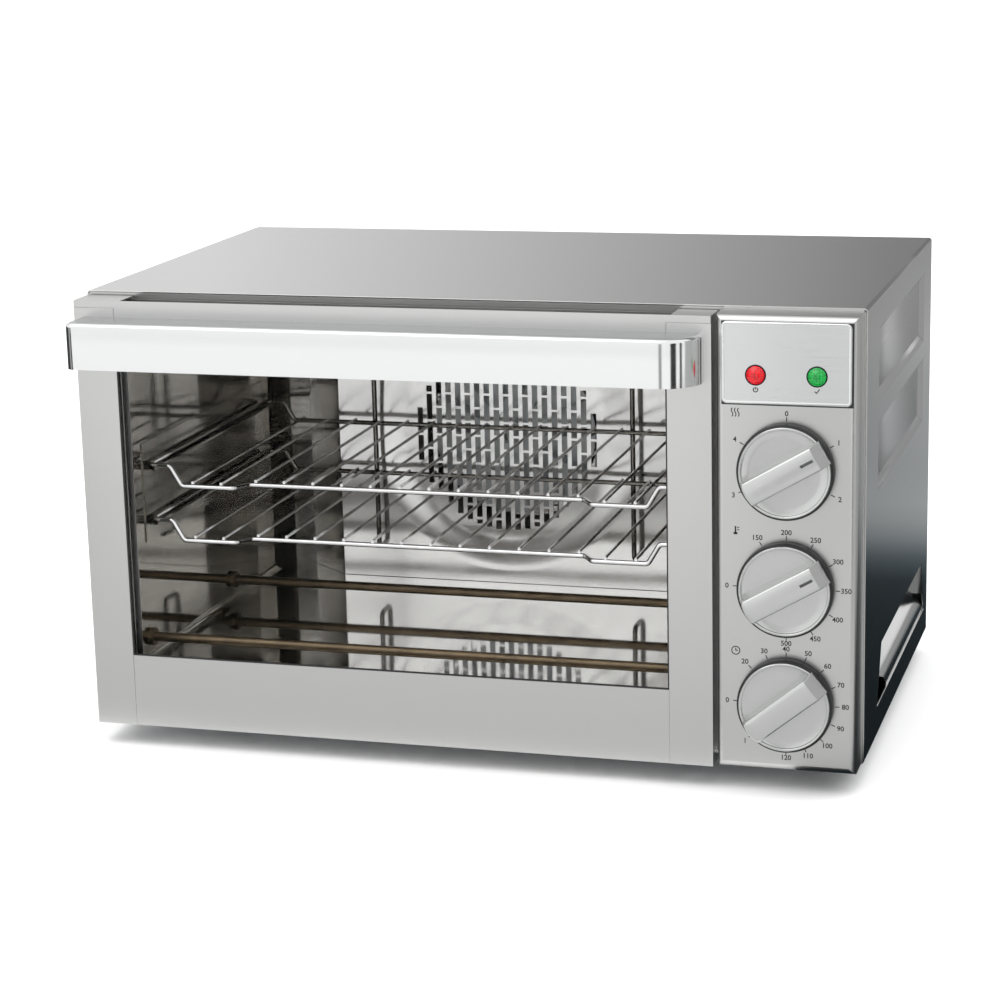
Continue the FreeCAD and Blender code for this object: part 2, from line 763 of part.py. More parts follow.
def plan_outline(grow, front, rear):
    """The cavity's outline in plan, with its cut rear corners, grown by a distance."""
    line = [
        (CAVITY_RIGHT, front),
        (CAVITY_RIGHT, rear - CHAMFER_DEPTH),
        (CAVITY_RIGHT - CHAMFER_WIDTH, rear),
        (CAVITY_LEFT + CHAMFER_WIDTH, rear),
        (CAVITY_LEFT, rear - CHAMFER_DEPTH),
        (CAVITY_LEFT, front),
    ]
    return offset_line(line, -grow)


def cavity_block(grow, front):
    """The cavity as a block with coved long edges, grown by a distance."""
    rear = CAVITY_REAR
    plan = plan_prism(plan_outline(grow, front, rear), FLOOR - grow, CEILING + grow)
    bar = round_bar(
        CAVITY_LEFT - grow, CAVITY_RIGHT + grow, front, rear + grow, FLOOR - grow, CEILING + grow,
        CAVITY_COVE + grow, Vector(0, 1, 0),
    )
    return plan.common(bar)


def heater_places():
    """The Y and Z of each heating rod, by name."""
    places = {}
    for level, z in (("lower", HEATER_LOW_Z), ("upper", HEATER_HIGH_Z)):
        for end, setback in zip(("front", "rear"), HEATER_SETBACKS):
            places[f"{level}_{end}_heater"] = (FRONT + setback, z)
    return places


def bulb_place():
    """Where the thermostat's bulb lies, and where its tube goes through the liner."""
    x = CAVITY_RIGHT - BULB_STANDOFF
    y = FRONT + BULB_SETBACK
    return x, y, CEILING - BULB_DROP


def cavity_liner():
    """The polished cooking box, open at the front."""
    liner = cavity_block(SHEET, FRONT + SHEET).cut(cavity_block(0.0, FRONT + SHEET))
    holes = [
        rod_y(
            DOOR_MIDDLE, CAVITY_REAR - SHEET, LINER_REAR + SHEET, FAN_Z,
            FAN_SHAFT_RADIUS + SHAFT_HOLE_CLEARANCE,
        )
    ]
    radius = HEATER_BUSH_RADIUS + HEATER_HOLE_CLEARANCE
    for y, z in heater_places().values():
        for x in (CAVITY_LEFT, CAVITY_RIGHT):
            holes.append(rod_x(x - 2 * SHEET, x + 2 * SHEET, y, z, radius))
    x, y, z = bulb_place()
    reach = BULB_STANDOFF + 2 * SHEET
    holes.append(rod_x(x, x + reach, y, z, CAPILLARY_RADIUS + CAPILLARY_CLEARANCE))
    liner = liner.cut(holes)
    return drilled(liner, baffle_screw_places() + bracket_screw_places())


def insulation_blanket():
    """Mineral wool round the liner's top, sides and underside."""
    gap = INSULATION_GAP
    front = FRONT + SHEET + gap
    rear = LINER_REAR
    inner = cavity_block(SHEET + gap, front)
    outer = box(
        CAVITY_LEFT - SHEET - gap - INSULATION_SIDE, CAVITY_RIGHT + SHEET + gap + INSULATION_SIDE,
        front, rear, FLOOR - SHEET - gap - INSULATION_BOTTOM, CEILING + SHEET + gap + INSULATION_TOP,
    )
    pocket = box(
        LEFT, LEFT + GRIP_POCKET_DEPTH + SHEET + gap, FRONT + GRIP_POCKET_FRONT - SHEET - gap,
        REAR - GRIP_POCKET_REAR + SHEET + gap, BOTTOM,
        BOTTOM + GRIP_POCKET_BOTTOM + GRIP_POCKET_HEIGHT + SHEET + gap,
    )
    cuts = [inner, pocket]
    radius = HEATER_BUSH_RADIUS + INSULATION_CLEARANCE
    for y, z in heater_places().values():
        cuts.append(rod_x(LEFT, RIGHT, y, z, radius))
    x, y, z = bulb_place()
    cuts.append(rod_x(x, RIGHT, y, z, CAPILLARY_RADIUS + INSULATION_CLEARANCE))
    return outer.cut(cuts)


def insulation_rear():
    """Mineral wool between the liner and the rear panel, cut out round the motor."""
    gap = INSULATION_GAP
    pad = box(
        CAVITY_LEFT, CAVITY_RIGHT, LINER_REAR + gap, REAR - SHEET - gap, FLOOR, CEILING
    )
    half = MOTOR_BRACKET_HALF + MOTOR_BRACKET_FLANGE + INSULATION_CLEARANCE
    high = MOTOR_BRACKET_HEIGHT / 2 + INSULATION_CLEARANCE
    window = box(DOOR_MIDDLE - half, DOOR_MIDDLE + half, LINER_REAR, REAR, FAN_Z - high, FAN_Z + high)
    pockets = []
    radius = SCREW_HEAD_RADIUS + SCREW_CLEARANCE
    for x, y, z, _, length in baffle_screw_places():
        pockets.append(rod_y(x, y, y + length, z, radius))
    for x, y, z, _, length in rear_screw_places():
        pockets.append(rod_y(x, y - length - SHEET, y, z, radius))
    return pad.cut([window] + pockets)


# Cavity fittings
def grille_slots():
    """Upright slots in staggered rows, trimmed to the grille's circle."""
    circle = rod_y(DOOR_MIDDLE, BAFFLE_FACE, BAFFLE_FACE + SHEET, FAN_Z, GRILLE_RADIUS)
    columns = int(GRILLE_RADIUS / SLOT_PITCH)
    rows = int(GRILLE_RADIUS / SLOT_ROW) + 1
    slots = []
    for column in range(-columns, columns + 1):
        x = DOOR_MIDDLE + column * SLOT_PITCH
        reach = abs(column * SLOT_PITCH) + SLOT_WIDTH / 2
        chord = math.sqrt(max(GRILLE_RADIUS**2 - reach**2, 0))
        shift = SLOT_ROW / 2 if column % 2 else 0.0
        for row in range(-rows, rows + 1):
            middle = row * SLOT_ROW + shift
            low = max(middle - (SLOT_ROW - SLOT_BRIDGE) / 2, -chord)
            high = min(middle + (SLOT_ROW - SLOT_BRIDGE) / 2, chord)
            if high - low < SLOT_SHORTEST:
                continue
            slots.append(
                box(
                    x - SLOT_WIDTH / 2, x + SLOT_WIDTH / 2, circle.BoundBox.YMin,
                    circle.BoundBox.YMax, FAN_Z + low, FAN_Z + high,
                )
            )
    return slots


def fan_baffle():
    """The flat polished sheet in front of the fan, with wings folded back to the liner."""
    line = [
        (DOOR_MIDDLE + BAFFLE_TIP - BAFFLE_FLANGE, CAVITY_REAR),
        (DOOR_MIDDLE + BAFFLE_TIP, CAVITY_REAR),
        (DOOR_MIDDLE + BAFFLE_HALF, BAFFLE_FACE),
        (DOOR_MIDDLE - BAFFLE_HALF, BAFFLE_FACE),
        (DOOR_MIDDLE - BAFFLE_TIP, CAVITY_REAR),
        (DOOR_MIDDLE - BAFFLE_TIP + BAFFLE_FLANGE, CAVITY_REAR),
    ]
    gap = BAFFLE_CLEARANCE
    sheet = folded(line, -SHEET, FLOOR + gap, CEILING - gap)
    return drilled(sheet.cut(grille_slots()), baffle_screw_places())


def rack_guide_left():
    """A plate on the left wall with a ledge under each rack's raised side."""
    y0 = FRONT + GUIDE_FRONT
    y1 = RACK_REAR + GUIDE_OVERHANG
    ledges = []
    for level in range(2):
        wire = FLOOR + RACK_LOWEST + level * RACK_PITCH + RACK_RISE
        top = wire - RACK_ROD - GUIDE_GAP
        ledges.append(box(CAVITY_LEFT, CAVITY_LEFT + GUIDE_LEDGE, y0, y1, top - GUIDE_SHEET, top))
    low = FLOOR + RACK_LOWEST + RACK_RISE - GUIDE_MARGIN
    high = FLOOR + RACK_LOWEST + RACK_PITCH + RACK_RISE + GUIDE_MARGIN
    plate = box(CAVITY_LEFT, GUIDE_FACE, y0, y1, low, high)
    return joined([plate] + ledges)


def rack_stop_left():
    """The upright wire at the back that the racks and pans stop against."""
    x = DOOR_MIDDLE - STOP_SPACING / 2
    y = BAFFLE_FACE - STOP_GAP
    points = [
        Vector(x, y, CEILING),
        Vector(x, y, FLOOR + STOP_BOTTOM),
        Vector(x, BAFFLE_FACE, FLOOR + STOP_BOTTOM),
    ]
    return bent_rod(points, [STOP_BEND], STOP_RADIUS)


def heater(y, z):
    """A straight sheathed rod through both side walls, with bushes and end pins."""
    reach = HEATER_BUSH_OUTSIDE + SHEET
    parts = [rod_x(CAVITY_LEFT - reach, CAVITY_RIGHT + reach, y, z, HEATER_RADIUS)]
    for wall, inward in ((CAVITY_LEFT, 1), (CAVITY_RIGHT, -1)):
        ends = sorted((wall - inward * reach, wall + inward * HEATER_BUSH_INSIDE))
        parts.append(rod_x(ends[0], ends[1], y, z, HEATER_BUSH_RADIUS))
        pin = sorted((wall - inward * reach, wall - inward * (reach + HEATER_PIN_LENGTH)))
        parts.append(rod_x(pin[0], pin[1], y, z, HEATER_PIN_RADIUS))
    return joined(parts)


# Racks
def rack(level):
    """One chrome wire rack: a bent frame and its lengthwise wires."""
    z = FLOOR + RACK_LOWEST + level * RACK_PITCH
    top = z + RACK_RISE
    front = FRONT + RACK_FRONT
    rear = RACK_REAR
    main = front + RACK_JOG
    right_front = [
        (RACK_MAIN_HALF, main, z, RACK_BEND),
        (RACK_LOW_INNER, front, z, RACK_BEND),
        (RACK_HOOK_START, front, z, RACK_BEND),
        (RACK_HOOK_END, front, top, RACK_BEND),
        (RACK_SIDE, front, top, RACK_SIDE_BEND),
        (RACK_SIDE, rear, top, RACK_SIDE_BEND),
        (RACK_HOOK_END, rear, top, RACK_BEND),
        (RACK_HOOK_START, rear, z, RACK_BEND),
    ]
    points = [Vector(DOOR_MIDDLE, main, z)]
    radii = []
    for x, y, height, bend in right_front:
        points.append(Vector(DOOR_MIDDLE + x, y, height))
        radii.append(bend)
    points.append(Vector(DOOR_MIDDLE, rear, z))
    half = bent_rod(points, radii, RACK_ROD)
    shapes = [half, mirrored(half)]
    lift = RACK_ROD + RACK_WIRE - RACK_WIRE_SINK
    step = 2 * RACK_OUTER_WIRE / (RACK_WIRES - 1)
    for index in range(RACK_WIRES):
        x = -RACK_OUTER_WIRE + index * step
        start = main if abs(x) < RACK_MAIN_HALF else front
        shapes.append(rod_y(DOOR_MIDDLE + x, start, rear, z + lift, RACK_WIRE))
    return joined(shapes)


# Fan
def fan_wheel():
    """A disc on a hub with straight radial blades on its front."""
    back = CAVITY_REAR - FAN_REAR_GAP
    disc_front = back - FAN_DISC
    parts = [
        rod_y(DOOR_MIDDLE, disc_front, back, FAN_Z, FAN_RADIUS),
        rod_y(DOOR_MIDDLE, back - FAN_HUB_LENGTH, back, FAN_Z, FAN_HUB_RADIUS),
    ]
    for index in range(FAN_BLADES):
        blade = box(
            DOOR_MIDDLE + FAN_BLADE_INNER, DOOR_MIDDLE + FAN_RADIUS - FAN_BLADE_SHEET,
            disc_front - FAN_BLADE_WIDTH, disc_front,
            FAN_Z - FAN_BLADE_SHEET / 2, FAN_Z + FAN_BLADE_SHEET / 2,
        )
        blade.rotate(Vector(DOOR_MIDDLE, 0, FAN_Z), Vector(0, 1, 0), index * 360 / FAN_BLADES)
        parts.append(blade)
    bore = rod_y(
        DOOR_MIDDLE, back - FAN_HUB_LENGTH, back, FAN_Z, FAN_SHAFT_RADIUS + FAN_FIT
    )
    return joined(parts).cut(bore)


def fan_shaft():
    """The motor's shaft, through the liner into the fan's hub."""
    front = BAFFLE_FACE + FAN_SHAFT_FRONT
    return rod_y(DOOR_MIDDLE, front, FAN_SHAFT_BACK, FAN_Z, FAN_SHAFT_RADIUS)


def fan_nut():
    """The hexagon nut on the front of the fan's hub."""
    back = CAVITY_REAR - FAN_REAR_GAP - FAN_HUB_LENGTH
    front = back - FAN_NUT_LENGTH
    corners = []
    for index in range(NUT_SIDES):
        angle = math.tau * index / NUT_SIDES
        x = DOOR_MIDDLE + FAN_NUT_RADIUS * math.cos(angle)
        corners.append((x, FAN_Z + FAN_NUT_RADIUS * math.sin(angle)))
    bore = rod_y(DOOR_MIDDLE, front, back, FAN_Z, FAN_SHAFT_RADIUS + FAN_FIT)
    return front_prism(corners, front, back).cut(bore)


def fan_motor():
    """The motor's can, bored for its shaft."""
    can = rod_y(DOOR_MIDDLE, MOTOR_FRONT, MOTOR_BACK, FAN_Z, MOTOR_RADIUS)
    depth = FAN_SHAFT_BACK + FAN_SHAFT_END_GAP
    bore = rod_y(DOOR_MIDDLE, MOTOR_FRONT, depth, FAN_Z, FAN_SHAFT_RADIUS + SHAFT_CLEARANCE)
    return can.cut(bore)


def motor_bracket():
    """The hat-shaped bracket that carries the motor on the liner's back."""
    half = MOTOR_BRACKET_HALF
    tip = half + MOTOR_BRACKET_FLANGE
    step = LINER_REAR + MOTOR_BRACKET_STEP
    line = [
        (DOOR_MIDDLE - tip, LINER_REAR),
        (DOOR_MIDDLE - half, LINER_REAR),
        (DOOR_MIDDLE - half, step),
        (DOOR_MIDDLE + half, step),
        (DOOR_MIDDLE + half, LINER_REAR),
        (DOOR_MIDDLE + tip, LINER_REAR),
    ]
    high = MOTOR_BRACKET_HEIGHT / 2
    hat = folded(line, MOTOR_BRACKET_SHEET, FAN_Z - high, FAN_Z + high)
    hole = rod_y(
        DOOR_MIDDLE, LINER_REAR, MOTOR_FRONT, FAN_Z, FAN_SHAFT_RADIUS + SHAFT_HOLE_CLEARANCE
    )
    return drilled(hat.cut(hole), bracket_screw_places())


# Control side
def fascia_block(inset):
    """The fascia's outline as a block with round front edges, drawn in by an inset."""
    block = box(
        FASCIA_LEFT + inset, FASCIA_RIGHT - inset, FASCIA_FRONT + inset, FRONT,
        FASCIA_BOTTOM + inset, FASCIA_TOP - inset,
    )
    return block.makeFillet(FASCIA_RADIUS - inset, front_face(block).Edges)


def control_fascia():
    """The deep folded panel that carries the dials, badge plate and lamps."""
    holes = [fascia_block(FASCIA_SHEET)]
    for z in (FUNCTION_Z, TEMPERATURE_Z, TIMER_Z):
        radius = BUSH_RADIUS + BUSH_CLEARANCE
        holes.append(rod_y(FASCIA_MIDDLE, FASCIA_FRONT, FASCIA_INSIDE, z, radius))
    for side in (-1, 1):
        x = FASCIA_MIDDLE + side * LAMP_SPACING / 2
        radius = LAMP_BODY_RADIUS + LAMP_CLEARANCE
        holes.append(rod_y(x, FASCIA_FRONT, FASCIA_INSIDE, LAMP_Z, radius))
    return fascia_block(0.0).cut(holes)


def badge_plate():
    """The blank raised plate above the dials, pierced for the two lamps."""
    plate = round_bar(
        FASCIA_MIDDLE - BADGE_WIDTH / 2, FASCIA_MIDDLE + BADGE_WIDTH / 2,
        FASCIA_FRONT - BADGE_THICKNESS, FASCIA_FRONT, BADGE_BOTTOM, BADGE_TOP,
        BADGE_RADIUS, Vector(0, 1, 0),
    )
    holes = []
    for side in (-1, 1):
        x = FASCIA_MIDDLE + side * LAMP_SPACING / 2
        radius = LAMP_BODY_RADIUS + LAMP_CLEARANCE
        holes.append(rod_y(x, FASCIA_FRONT - BADGE_THICKNESS, FASCIA_FRONT, LAMP_Z, radius))
    return plate.cut(holes)


def lamp(side):
    """A neon pilot lamp: a domed lens on the plate and a body through the fascia."""
    x = FASCIA_MIDDLE + side * LAMP_SPACING / 2
    seat = FASCIA_FRONT - BADGE_THICKNESS
    ball = (LAMP_RADIUS**2 + LAMP_DOME**2) / (2 * LAMP_DOME)
    half_turn = math.asin(LAMP_RADIUS / ball) / 2
    top = Vector(x, seat - LAMP_DOME, LAMP_Z)
    between = top + Vector(ball * math.sin(half_turn), ball - ball * math.cos(half_turn), 0)
    rim = Vector(x + LAMP_RADIUS, seat, LAMP_Z)
    back = seat + LAMP_BODY_LENGTH
    corners = [
        rim,
        Vector(x + LAMP_BODY_RADIUS, seat, LAMP_Z),
        Vector(x + LAMP_BODY_RADIUS, back, LAMP_Z),
        Vector(x, back, LAMP_Z),
        top,
    ]
    outline = Part.Wire([Part.Arc(top, between, rim).toShape()] + Part.makePolygon(corners).Edges)
    return Part.Face(outline).revolve(top, Vector(0, 1, 0))


def knob(z, pointer):
    """A dial with a dished face and a grip bar, turned to where its pointer stands."""
    x = FASCIA_MIDDLE
    skirt = Part.makeCone(
        KNOB_BASE_RADIUS, KNOB_FACE_RADIUS, KNOB_SKIRT, Vector(x, KNOB_BACK, z), Vector(0, -1, 0)
    )
    dish = rod_y(x, KNOB_FACE, KNOB_FACE + KNOB_DISH, z, KNOB_FACE_RADIUS - KNOB_RIM)
    half = GRIP_WIDTH / 2
    reach = KNOB_BASE_RADIUS
    bar = box(x - half, x + half, KNOB_FRONT, KNOB_FACE + KNOB_DISH, z - reach, z + reach)
    bar = bar.makeFillet(GRIP_FILLET, front_face(bar).Edges)
    cone = Part.makeCone(
        KNOB_BASE_RADIUS, KNOB_FACE_RADIUS - KNOB_RIM / 2, KNOB_BACK - KNOB_FRONT,
        Vector(x, KNOB_BACK, z), Vector(0, -1, 0),
    )
    bar = bar.common(cone)
    slope = side_prism(
        [
            (KNOB_FRONT, z + reach),
            (KNOB_FRONT, z + KNOB_FACE_RADIUS - GRIP_SLOPE),
            (KNOB_FACE, z + KNOB_FACE_RADIUS),
            (KNOB_FACE, z + reach),
        ],
        x - half, x + half,
    )
    end = z + KNOB_FACE_RADIUS - GRIP_SLOPE - POINTER_WIDTH
    groove = box(
        x - POINTER_WIDTH / 2, x + POINTER_WIDTH / 2, KNOB_FRONT, KNOB_FRONT + POINTER_DEPTH,
        end - POINTER_LENGTH, end,
    )
    bore = rod_y(
        x, KNOB_BACK - SHAFT_DEPTH_IN_KNOB, KNOB_BACK, z, SHAFT_RADIUS + SHAFT_CLEARANCE
    )
    whole = skirt.cut(dish).fuse(bar.cut([slope, groove])).removeSplitter().cut(bore)
    whole.rotate(Vector(x, 0, z), Vector(0, 1, 0), pointer)
    return whole


def knob_shaft(z):
    """A spindle from the body behind the fascia into a dial."""
    return rod_y(
        FASCIA_MIDDLE, KNOB_BACK - SHAFT_DEPTH_IN_KNOB, FASCIA_INSIDE + SHAFT_DEPTH_IN_BODY, z,
        SHAFT_RADIUS,
    )


def bush(z):
    """The threaded bush that a control's body pushes through the fascia."""
    return rod_y(FASCIA_MIDDLE, FASCIA_FRONT - KNOB_GAP / 2, FASCIA_INSIDE, z, BUSH_RADIUS)


def shaft_bore(z):
    """The running bore for a dial's spindle."""
    front = FASCIA_FRONT - KNOB_GAP
    back = FASCIA_INSIDE + SHAFT_DEPTH_IN_BODY + SHEET
    return rod_y(FASCIA_MIDDLE, front, back, z, SHAFT_RADIUS + SHAFT_CLEARANCE)


def function_switch():
    """The rotary function switch behind the top dial."""
    half = SWITCH_WIDTH / 2
    body = box(
        FASCIA_MIDDLE - half, FASCIA_MIDDLE + half, FASCIA_INSIDE, FASCIA_INSIDE + SWITCH_DEPTH,
        FUNCTION_Z - half, FUNCTION_Z + half,
    )
    return joined([body, bush(FUNCTION_Z)]).cut(shaft_bore(FUNCTION_Z))


def thermostat():
    """The thermostat behind the middle dial, with its tube and its bulb in the cavity."""
    body = rod_y(
        FASCIA_MIDDLE, FASCIA_INSIDE, FASCIA_INSIDE + THERMOSTAT_DEPTH, TEMPERATURE_Z,
        THERMOSTAT_RADIUS,
    )
    back = FASCIA_INSIDE + THERMOSTAT_DEPTH
    x, y, z = bulb_place()
    outlet = TEMPERATURE_Z + CAPILLARY_RISE
    start = y + BULB_LEAD
    points = [
        Vector(FASCIA_MIDDLE, back - SHEET, outlet),
        Vector(FASCIA_MIDDLE, y, outlet),
        Vector(FASCIA_MIDDLE, y, z),
        Vector(x, y, z),
        Vector(x, start + SHEET, z),
    ]
    capillary = bent_rod(points, [CAPILLARY_BEND] * (len(points) - 2), CAPILLARY_RADIUS)
    bulb = rod_y(x, start, start + BULB_LENGTH, z, BULB_RADIUS)
    return joined([body, bush(TEMPERATURE_Z), capillary, bulb]).cut(shaft_bore(TEMPERATURE_Z))


def bake_timer():
    """The clockwork timer behind the bottom dial."""
    half = TIMER_WIDTH / 2
    body = box(
        FASCIA_MIDDLE - half, FASCIA_MIDDLE + half, FASCIA_INSIDE, FASCIA_INSIDE + TIMER_DEPTH,
        TIMER_Z - half, TIMER_Z + half,
    )
    return joined([body, bush(TIMER_Z)]).cut(shaft_bore(TIMER_Z))


# Door
def corner_cutter():
    """What lies outside the round lower back edge that clears the cabinet as the door drops."""
    corner = box(LEFT - SHEET, RIGHT, PIVOT_Y, DOOR_BACK, DOOR_BOTTOM, PIVOT_Z)
    return corner.cut(rod_x(LEFT - SHEET, RIGHT, PIVOT_Y, PIVOT_Z, PIVOT_RADIUS))


def door_left_stile():
    """A folded upright: face, outer side and back flange, open at its foot."""
    face = box(
        DOOR_LEFT, WINDOW_LEFT, DOOR_FRONT, DOOR_FRONT + SHEET, DOOR_BOTTOM, CAP_BOTTOM
    )
    side = box(DOOR_LEFT, DOOR_LEFT + SHEET, DOOR_FRONT, DOOR_BACK, DOOR_BOTTOM, CAP_BOTTOM)
    flange = box(
        DOOR_LEFT, DOOR_LEFT + STILE_FLANGE, DOOR_BACK - SHEET, DOOR_BACK,
        DOOR_BOTTOM + INNER_FRAME_FOOT, CAP_BOTTOM,
    )
    stile = joined([face, side, flange]).cut(corner_cutter())
    return drilled(stile, handle_screw_places())


def door_top_rail():
    """The face above the window with its full-width cap strip and folded end caps."""
    face = box(WINDOW_LEFT, WINDOW_RIGHT, DOOR_FRONT, DOOR_FRONT + SHEET, WINDOW_TOP, DOOR_TOP)
    strip = box(DOOR_LEFT, DOOR_RIGHT, DOOR_FRONT, DOOR_FRONT + SHEET, CAP_BOTTOM, DOOR_TOP)
    parts = [face, strip]
    ends = (
        (DOOR_LEFT, DOOR_LEFT + LEFT_END_CAP, DOOR_LEFT),
        (DOOR_RIGHT - RIGHT_END_CAP, DOOR_RIGHT, DOOR_RIGHT - SHEET),
    )
    for x0, x1, wall in ends:
        parts.append(box(x0, x1, DOOR_FRONT, DOOR_BACK, DOOR_TOP - SHEET, DOOR_TOP))
        parts.append(box(x0, x1, DOOR_BACK - SHEET, DOOR_BACK, CAP_BOTTOM, DOOR_TOP))
        parts.append(box(wall, wall + SHEET, DOOR_FRONT, DOOR_BACK, CAP_BOTTOM, DOOR_TOP))
    return joined(parts)


def door_bottom_rail():
    """The face below the window, folded under and up the back round the pivot line."""
    x0 = WINDOW_LEFT
    x1 = WINDOW_RIGHT
    back_top = DOOR_BOTTOM + INNER_FRAME_FOOT + GASKET_WIDTH
    outer = box(x0, x1, DOOR_FRONT, DOOR_BACK, DOOR_BOTTOM, back_top).cut(corner_cutter())
    inner = box(
        x0, x1, DOOR_FRONT + SHEET, DOOR_BACK - SHEET, DOOR_BOTTOM + SHEET, back_top
    )
    corner = box(x0, x1, PIVOT_Y, DOOR_BACK - SHEET, DOOR_BOTTOM + SHEET, PIVOT_Z)
    corner = corner.cut(rod_x(x0, x1, PIVOT_Y, PIVOT_Z, PIVOT_RADIUS - SHEET))
    channel = outer.cut(inner.cut(corner))
    face = box(x0, x1, DOOR_FRONT, DOOR_FRONT + SHEET, DOOR_BOTTOM, WINDOW_BOTTOM)
    return joined([channel, face])


def pane(overlap, y0):
    """A glass pane that laps behind the edges of an opening."""
    return box(
        WINDOW_LEFT - overlap, WINDOW_RIGHT + overlap, y0, y0 + GLASS_THICKNESS,
        WINDOW_BOTTOM - overlap, WINDOW_TOP + overlap,
    )


def door_inner_frame():
    """The dark sheet that closes the door's back round the inner pane."""
    margin = INNER_MARGIN
    sheet = box(
        DOOR_LEFT + INNER_FRAME_INSET, DOOR_RIGHT - INNER_FRAME_INSET,
        INNER_FRAME_FRONT, INNER_FRAME_BACK,
        DOOR_BOTTOM + INNER_FRAME_FOOT, DOOR_TOP - INNER_FRAME_TOP_GAP,
    )
    window = box(
        WINDOW_LEFT - margin, WINDOW_RIGHT + margin, INNER_FRAME_FRONT, INNER_FRAME_BACK,
        WINDOW_BOTTOM - margin, WINDOW_TOP + margin,
    )
    return sheet.cut(window)


def door_gasket():
    """The seal ring that closes the gap between the door and the front frame."""
    near = GASKET_SPACING
    far = near + GASKET_WIDTH
    front = INNER_FRAME_BACK
    back = FRONT - INSULATION_GAP
    outer = box(
        CAVITY_LEFT - far, CAVITY_RIGHT + far, front, back, FLOOR - far, CEILING + far
    )
    inner = box(
        CAVITY_LEFT - near, CAVITY_RIGHT + near, front, back, FLOOR - near, CEILING + near
    )
    return outer.cut(inner)


def handle_block(inset):
    """The handle's outline in plan as a block, with round front corners, drawn in by an inset."""
    z1 = DOOR_TOP - HANDLE_DROP
    block = box(
        DOOR_LEFT + HANDLE_INSET + inset, DOOR_RIGHT - HANDLE_INSET - inset,
        DOOR_FRONT - HANDLE_STANDOFF + inset, DOOR_FRONT, z1 - HANDLE_HEIGHT, z1,
    )
    corners = along(front_face(block), Vector(0, 0, 1))
    return block.makeFillet(HANDLE_RADIUS - inset, corners)


def door_handle():
    """The flat polished strap, bent back at both ends, with a tab on each stile."""
    strap = handle_block(0.0).cut(handle_block(HANDLE_STRAP))
    room = strap.BoundBox
    tab = box(
        room.XMin, room.XMin + HANDLE_TAB, DOOR_FRONT - HANDLE_STRAP, DOOR_FRONT,
        room.ZMin, room.ZMax,
    )
    return drilled(joined([strap, tab, mirrored(tab)]), handle_screw_places())


def hinge_bracket_left():
    """The cabinet's half of a hinge: a knuckle plate and a flange on the front frame."""
    x0 = HINGE_X
    x1 = x0 + HINGE_PLATE
    knuckle = HINGE_KNUCKLE
    plate = box(x0, x1, PIVOT_Y, FRONT, PIVOT_Z - knuckle, PIVOT_Z + knuckle)
    eye = rod_x(x0, x1, PIVOT_Y, PIVOT_Z, knuckle)
    flange = box(
        x0, x1 + HINGE_FLANGE, FRONT - HINGE_FLANGE_SHEET, FRONT,
        PIVOT_Z - knuckle, PIVOT_Z + knuckle,
    )
    hole = rod_x(x0, x1, PIVOT_Y, PIVOT_Z, PIN_RADIUS + PIN_CLEARANCE)
    return drilled(joined([plate, eye, flange]).cut(hole), hinge_screw_places())


def hinge_arm_left():
    """The door's half of a hinge: two cheeks on a plate behind the stile's face."""
    middle = HINGE_X + HINGE_PLATE / 2
    inner = ARM_SPREAD - HINGE_PLATE / 2
    knuckle = HINGE_KNUCKLE
    face = DOOR_FRONT + SHEET
    parts = []
    for side in (-1, 1):
        ends = sorted((middle + side * inner, middle + side * (inner + HINGE_PLATE)))
        parts.append(
            box(ends[0], ends[1], face, PIVOT_Y, PIVOT_Z - knuckle, PIVOT_Z + knuckle)
        )
        parts.append(rod_x(ends[0], ends[1], PIVOT_Y, PIVOT_Z, knuckle))
    reach = inner + HINGE_PLATE
    parts.append(
        box(
            middle - reach, middle + reach, face, face + ARM_PLATE,
            PIVOT_Z - knuckle, PIVOT_Z - knuckle + ARM_REACH,
        )
    )
    hole = rod_x(middle - reach, middle + reach, PIVOT_Y, PIVOT_Z, PIN_RADIUS + PIN_GRIP)
    return joined(parts).cut(hole)


def hinge_pins():
    """The two pins the door turns on."""
    middle = HINGE_X + HINGE_PLATE / 2
    reach = ARM_SPREAD + HINGE_PLATE / 2 + PIN_OVERHANG
    pin = rod_x(middle - reach, middle + reach, PIVOT_Y, PIVOT_Z, PIN_RADIUS)
    return Part.makeCompound([pin, mirrored(pin)])


# Feet and fasteners
def foot(x, y):
    """A rubber foot, tapered, with a recess for its screw's head."""
    top = BOTTOM + SHEET
    cone = Part.makeCone(FOOT_RADIUS - FOOT_TAPER, FOOT_RADIUS, top, Vector(x, y, 0))
    recess = rod_z(x, y, 0, FOOT_RECESS, SCREW_HEAD_RADIUS + SCREW_CLEARANCE)
    hole = rod_z(x, y, FOOT_RECESS, top, HOLE_RADIUS)
    return cone.cut([recess, hole])


def foot_screw_places():
    """A screw up through each foot into the base pan."""
    length = BOTTOM + SHEET - FOOT_RECESS + SCREW_LENGTH
    return [(x, y, FOOT_RECESS, (0, 0, 1), length) for x, y in foot_places().values()]


